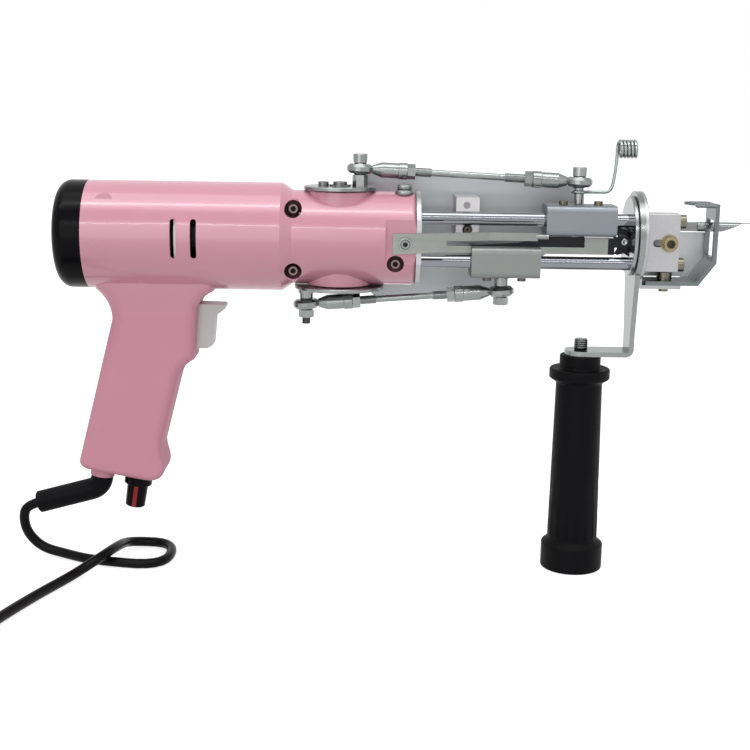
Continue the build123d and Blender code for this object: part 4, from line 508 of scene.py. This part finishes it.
PAD_RING = [(0, 19.75), (1.6, 19.75), (1.95, 19.4), (1.95, 9.8), (0, 9.8)]
CLAMP_BOSS = [(0, 5.6), (2.9, 5.6), (3.4, 5.1)]
CLAMP_PLACE = (38.6, -6)
CLAMP_HEAD = [(0, 3.6), (0, 4.4), (2.9, 4.4), (3.4, 3.9), (3.4, 2.0), (1.4, 2.0), (1.4, 0.1)]


def scissor_details():
    """The black lever on top of the scissor strip, the blades' dark shanks and their pivot's bright head."""
    lever = side_piece("scissor_lever", LEVER, -7.2, -4.8, 0.3)
    finish_piece(lever, "scissor_carriage", "dark_steel")
    for blade, outline, near in (("upper", UPPER_SHANK, -3.37), ("lower", LOWER_SHANK, -4.97)):
        shank = side_piece(blade + "_shank", outline, near, near + SHANK_THICK, 0.2)
        finish_piece(shank, blade + "_blade", "dark_steel")
    head = rings("blade_pivot", PIVOT_PLACE, (0, -1, 0), PIVOT_HEAD, 28)
    finish_piece(head, "scissor_carriage", "spring_steel", material=SPECIAL["top_rod_bolt"])


def pads():
    """The raised rings that close the gap between the housing's pads and both crank discs."""
    for side, name in ((1, "top_pad"), (-1, "bottom_pad")):
        piece = rings(name, (0, 0, side * PAD_BASE), (0, 0, side), PAD_RING, PAD_SIDES, hollow=True)
        finish_piece(piece, "housing", "pink_shell")


CORNER_CUT = 0.25


def softened(points, rounds):
    """An open line with its corners cut away, a few times over."""
    kept = 1 - CORNER_CUT
    for _ in range(rounds):
        cut = [points[0]]
        for (x, z), (next_x, next_z) in zip(points, points[1:]):
            cut += [(x * kept + next_x * CORNER_CUT, z * kept + next_z * CORNER_CUT),
                    (x * CORNER_CUT + next_x * kept, z * CORNER_CUT + next_z * kept)]
        points = cut + [points[-1]]
    return points


# The grip's toe in mm: half its width, the rounding of its sides, and its outline in front and inside the grip
TOE_HALF = 16.9
TOE_ROUND = 3.2
TOE_STEPS = 8
TOE_CAP_INSET = 0.3
TOE_FRONT = [(-107.8, -118.0), (-108.6, -124.5), (-109.0, -130.5), (-108.4, -135.0), (-107.0, -139.5),
             (-106.6, -143.5), (-107.6, -147.2), (-110.5, -150.1), (-115.5, -151.2), (-119.0, -150.4)]
TOE_INSIDE = [(-125, -147), (-125, -130), (-117, -118)]


def grip_toe():
    """The toe at the front of the grip's foot, over the shells' whole width."""
    front = [Vector(point) for point in softened(TOE_FRONT, 3)]
    outline = front + [Vector(point) for point in TOE_INSIDE]
    inward = []
    for before, after in zip([front[0]] + front, front[1:] + [front[-1]]):
        along = (after - before).normalized()
        inward.append(Vector((along.y, -along.x)))
    inward += [Vector((0, 0))] * len(TOE_INSIDE)
    loops = [(TOE_HALF, TOE_ROUND + TOE_CAP_INSET)]
    for step in range(TOE_STEPS + 1):
        angle = math.pi / 2 * step / TOE_STEPS
        loops.append((TOE_HALF - TOE_ROUND * (1 - math.cos(angle)), TOE_ROUND * (1 - math.sin(angle))))
    loops = [(-y, inset) for y, inset in loops] + [(y, inset) for y, inset in loops[::-1]]
    points = [at(spot.x + way.x * inset, y, spot.y + way.y * inset) for y, inset in loops
              for spot, way in zip(outline, inward)]
    finish_piece(mesh_piece("grip_toe", points, skin(len(outline), len(loops))), "housing", "pink_shell")


def foot_details():
    """The far cheek's front edge, and the rounded fingers on top of the foot."""
    cheek = side_piece("cheek_edge", CHEEK_EDGE, 11.9, 13.7, 0.3)
    finish_piece(cheek, "housing", "zinc_steel", material=SPECIAL["nose_plate"])
    for name, near in (("near_finger", -11.6), ("far_finger", 7.4)):
        piece = side_piece(name, FINGER, near, near + FINGER_WIDTH, 1.0)
        finish_piece(piece, "housing", "zinc_steel", material=SPECIAL["presser_foot"])


def clamp_screw():
    """The screw on top of the gear section that clamps the upper guide rod, on its low boss."""
    for name, height, section, sides in (("clamp_boss", 26.0, CLAMP_BOSS, 40), ("clamp_screw", 29.4, CLAMP_HEAD, 36)):
        finish_piece(rings(name, (*CLAMP_PLACE, height), (0, 0, 1), section, sides), "housing", "zinc_steel")


# The yarn guide in mm from the crank centre: its wire, the eye round the bolt and the coiled eyelet
BOLT_X = 144.0
STEM_X = 166.0
WIRE_Z = 29.5
WIRE_R = 1.0
EYE_R = 4.2
EYE_ANGLES = (120, 165, 210, 255, 300)
EYELET_Z = 55.5
EYELET_R = 4.6
EYELET_PITCH = 2.12
EYELET_TURNS = 5.25
EYELET_STEPS = 12


def yarn_wire():
    """The yarn guide: an eye round the bolt, a bent wire and a tightly coiled eyelet."""
    points = [(BOLT_X + EYE_R * 0.2, EYE_R, WIRE_Z)]
    for angle in map(math.radians, EYE_ANGLES):
        points.append((BOLT_X + EYE_R * math.cos(angle), EYE_R * math.sin(angle), WIRE_Z))
    points += [(BOLT_X + 4.6, -1.2, WIRE_Z), (BOLT_X + 9, 0, WIRE_Z), (BOLT_X + 14, 0, WIRE_Z),
               (STEM_X - 4.5, 0, WIRE_Z), (STEM_X - 2.2, 0, WIRE_Z + 2.6), (STEM_X - 1.1, 0, WIRE_Z + 8),
               (STEM_X - 0.3, 0, WIRE_Z + 16), (STEM_X, 0, EYELET_Z - 4), (STEM_X, 0, EYELET_Z - 1.2)]
    reach = EYELET_R / math.cos(math.pi / EYELET_STEPS)
    for number in range(1, round(EYELET_TURNS * EYELET_STEPS)):
        turns = number / EYELET_STEPS
        angle = 2 * math.pi * turns
        points.append((STEM_X + EYELET_PITCH * turns, -EYELET_R + reach * math.cos(angle),
                       EYELET_Z + reach * math.sin(angle)))
    piece = tube_curve("yarn_wire", [at(*point) for point in points], WIRE_R * MM)
    wire = metal("guide_wire", (0.27, 0.29, 0.285), 0.2, ALL_WAYS, 700, 0.1, 0.000003)
    finish_piece(piece, "needle_rod", "chrome_steel", "yarn_guide", material=wire)


# The cord: the same route as the model's, then the coil worked out by a loop

CORD_ROUTE = [(-188.4, 0, -170.1), (-195.65, 0, -171.95), (-199.0, 0.8, -179.5), (-197.5, 2.4, -191.0),
              (-188.5, 3.6, -201.5), (-173.0, 0.5, LIE), (-154.0, -11.0, LIE), (-107.0, -20.5, LIE),
              (-105.5, 23.5, LIE), (-137.0, 24.5, LIE + 0.8), (-138.5, -4.0, LIE + 7.4),
              (-144.0, -22.5, LIE + 7.4), (-159.5, -38.0, LIE), (-173.0, -70.0, LIE),
              (-185.0, -104.0, LIE), (-192.3, -131.0, LIE + 0.3), (-196.05, -152.0, LIE + 1.2),
              (-196.05, -169.0, LIE + 1.2)]

# In mm: how far the lead starts inside the guard, the coil's middle, radius, pitch, turns and height over the
# floor, and the straight tail to the connector
GUARD_INSET = 3.5
COIL_CENTRE = (-241.4, -172.5)
COIL_MID_R = 35.0
COIL_STEP = 6.9
COIL_TURNS = 3
COIL_LIFT = 1.2
POINTS_A_QUARTER = 4
TAIL_LEVEL = 24.0
TAIL_RUN = 50.0
CONNECTOR_R = 5.55


def coil_point(quarters, radius, height):
    """A control point of the coil, set out so far that the spline runs on the wanted radius."""
    angle = -quarters * math.pi / 2
    reach = radius / math.cos(math.pi / 4 / POINTS_A_QUARTER)
    return (COIL_CENTRE[0] + reach * math.cos(angle), COIL_CENTRE[1] + reach * math.sin(angle), height)


def coil_points():
    """Two layers of turns: inwards below, a climb, outwards above, and a straight tail."""
    outer = COIL_MID_R + COIL_STEP * COIL_TURNS / 2
    inner = outer - COIL_STEP * COIL_TURNS
    low = LIE + COIL_LIFT
    down = 4 * COIL_TURNS
    points = []
    for number in range(1, (2 * down - 2) * POINTS_A_QUARTER + 1):
        quarters = number / POINTS_A_QUARTER
        if quarters <= down:
            points.append(coil_point(quarters, outer - COIL_STEP * quarters / 4, low))
        elif quarters <= down + 2:
            climb = (quarters - down) / 2
            dip = math.sin(climb * math.pi) * COIL_STEP / 4
            rise = climb * climb * (3 - 2 * climb) * COIL_STEP
            points.append(coil_point(quarters, inner - dip, low + rise))
        else:
            points.append(coil_point(quarters, inner + COIL_STEP * (quarters - down - 2) / 4, low + COIL_STEP))
    x, y, top = points[-1][0], COIL_CENTRE[1], points[-1][2]
    end = FLOOR_Z + CONNECTOR_R
    tail = [(TAIL_LEVEL / 2, top), (TAIL_LEVEL, top), (TAIL_LEVEL + TAIL_RUN * 0.3, top),
            (TAIL_LEVEL + TAIL_RUN * 0.7, end), (TAIL_LEVEL + TAIL_RUN, end), (TAIL_LEVEL + TAIL_RUN + CORD_D, end)]
    return points + [(x, y + along, height) for along, height in tail]


def tube_curve(name, points, radius):
    """A smooth tube along control points."""
    data = bpy.data.curves.new(name, "CURVE")
    data.dimensions = "3D"
    spline = data.splines.new("NURBS")
    spline.points.add(len(points) - 1)
    for point, place in zip(spline.points, points):
        point.co = (*place, 1)
    spline.order_u = 3
    spline.use_endpoint_u = True
    spline.resolution_u = 6
    data.bevel_depth = radius
    data.bevel_resolution = 5
    data.use_fill_caps = True
    piece = bpy.data.objects.new(name, data)
    bpy.context.scene.collection.objects.link(piece)
    return piece


def power_lead():
    """The whole lead, from inside the guard to the connector."""
    first, second = Vector(CORD_ROUTE[0]), Vector(CORD_ROUTE[1])
    start = first - (second - first).normalized() * GUARD_INSET
    route = [at(*start)] + [at(*point) for point in CORD_ROUTE[1:]] + [at(*point) for point in coil_points()]
    lead = tube_curve("power_lead", route, CORD_D / 2 * MM)
    lead.data.materials.append(MATERIALS["cord_sheath"])
    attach(lead, "housing")
    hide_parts("power_cord", "cord_coil")


power_lead()
threads()
scissor_details()
pads()
grip_toe()
foot_details()
clamp_screw()
yarn_wire()


# Camera, found from the photograph by fitting known sizes

# Place in mm from the crank centre, angles in degrees, focal length and picture in pixels, sensor in mm
CAMERA_PLACE = (17.9, -795.1, 80.4)
CAMERA_PITCH = 11.76
CAMERA_YAW = 0.35
CAMERA_ROLL = 0.88
FOCAL_PX = 1309.0
PHOTO_PX = 750.0
SENSOR = 36.0


def place_camera():
    """A level-ish camera in front of the near side."""
    pitch, yaw, roll = (math.radians(angle) for angle in (CAMERA_PITCH, CAMERA_YAW, CAMERA_ROLL))
    ahead = Vector((math.sin(yaw) * math.cos(pitch), math.cos(yaw) * math.cos(pitch), -math.sin(pitch)))
    level_right = Vector((math.cos(yaw), -math.sin(yaw), 0))
    level_up = level_right.cross(ahead)
    right = level_right * math.cos(roll) + level_up * math.sin(roll)
    up = level_up * math.cos(roll) - level_right * math.sin(roll)
    data = bpy.data.cameras.new("camera")
    data.sensor_width = SENSOR
    data.sensor_fit = "HORIZONTAL"
    data.lens = FOCAL_PX / PHOTO_PX * SENSOR
    data.clip_start = 0.05
    data.clip_end = 50
    camera = bpy.data.objects.new("camera", data)
    turn = Matrix((right, up, -ahead)).transposed().to_4x4()
    camera.matrix_world = Matrix.Translation(at(*CAMERA_PLACE)) @ turn
    bpy.context.scene.collection.objects.link(camera)
    bpy.context.scene.camera = camera


place_camera()


# Floor, backdrop and light

def camera_or_glossy(tree):
    """One for rays that come from the camera, a mirror or glass, else zero."""
    rays = tree.nodes.new("ShaderNodeLightPath").outputs
    either = join_math(tree, "MAXIMUM", rays["Is Camera Ray"], rays["Is Glossy Ray"])
    return join_math(tree, "MAXIMUM", either, rays["Is Transmission Ray"])


def white_world(dim):
    """White where it is seen or mirrored, and a soft grey light otherwise."""
    world = bpy.data.worlds.new("studio")
    bpy.context.scene.world = world
    world.use_nodes = True
    tree = world.node_tree
    background = tree.nodes["Background"]
    background.inputs["Color"].default_value = (1, 1, 1, 1)
    strength = tree.nodes.new("ShaderNodeMapRange")
    strength.inputs["To Min"].default_value = dim
    strength.inputs["To Max"].default_value = 1.0
    tree.links.new(camera_or_glossy(tree), strength.inputs["Value"])
    tree.links.new(strength.outputs["Result"], background.inputs["Strength"])


# The world's light off matt surfaces, the floor's size in metres and its grey, and its glow with its distances
WORLD_DIM = 0.44
FLOOR_REACH = 6.0
FLOOR_DROP = 0.0001
FLOOR_GREY = 0.6
FLOOR_GLOW = 0.78
FLOOR_NEAR = 0.5
FLOOR_FAR = 1.6


def floor():
    """A wide pale floor that keeps a faint shadow."""
    mesh = bpy.data.meshes.new("floor")
    z = at(0, 0, FLOOR_Z).z - FLOOR_DROP
    corners = [(x * FLOOR_REACH, y * FLOOR_REACH, z) for x, y in ((-1, -1), (1, -1), (1, 1), (-1, 1))]
    mesh.from_pydata(corners, [], [(0, 1, 2, 3)])
    plane = bpy.data.objects.new("floor", mesh)
    bpy.context.scene.collection.objects.link(plane)
    material = bpy.data.materials.new("floor")
    material.use_nodes = True
    tree = material.node_tree
    tree.nodes.clear()
    output = tree.nodes.new("ShaderNodeOutputMaterial")
    matt = tree.nodes.new("ShaderNodeBsdfDiffuse")
    matt.inputs["Color"].default_value = (FLOOR_GREY, FLOOR_GREY, FLOOR_GREY, 1)
    glow = tree.nodes.new("ShaderNodeEmission")
    glow.inputs["Color"].default_value = (1, 1, 1, 1)
    away = length_of(tree, own_place(tree))
    level = spread(tree, away, FLOOR_GLOW, 1.0, FLOOR_NEAR, FLOOR_FAR)
    tree.links.new(join_math(tree, "MULTIPLY", camera_or_glossy(tree), level), glow.inputs["Strength"])
    both = tree.nodes.new("ShaderNodeAddShader")
    tree.links.new(matt.outputs["BSDF"], both.inputs[0])
    tree.links.new(glow.outputs["Emission"], both.inputs[1])
    tree.links.new(both.outputs["Shader"], output.inputs["Surface"])
    mesh.materials.append(material)


def soft_light(name, place, target, size, power, gloss_only):
    """A rectangular soft light aimed at a point, or one that only glossy surfaces show."""
    data = bpy.data.lights.new(name, "AREA")
    data.shape = "RECTANGLE"
    data.size, data.size_y = size
    data.energy = power
    lamp = bpy.data.objects.new(name, data)
    lamp.location = place
    lamp.rotation_euler = (Vector(target) - Vector(place)).to_track_quat("-Z", "Y").to_euler()
    lamp.visible_diffuse = not gloss_only
    bpy.context.scene.collection.objects.link(lamp)


# Each lamp's place, target and size in metres, power in watts, and whether only gloss shows it
LAMPS = [("top", (0.05, -0.25, 1.25), (0.1, 0, 0), (1.6, 0.9), 9.2, False),
         ("front", (-0.4, -1.5, 0.35), (0.1, 0, 0.02), (1.2, 0.8), 5.3, False),
         ("side", (1.3, -0.7, 0.5), (0.15, 0, 0.02), (0.8, 0.8), 1.2, False),
         ("high_strip", (0.08, -0.36, 1.15), (0.08, 0, 0.05), (2.2, 0.10), 6.5, True),
         ("low_strip", (0.08, -1.15, 0.66), (0.08, 0, 0.05), (2.0, 0.05), 4.0, True)]

white_world(WORLD_DIM)
floor()
for lamp in LAMPS:
    soft_light(*lamp)

bpy.context.scene.view_settings.view_transform = "Standard"
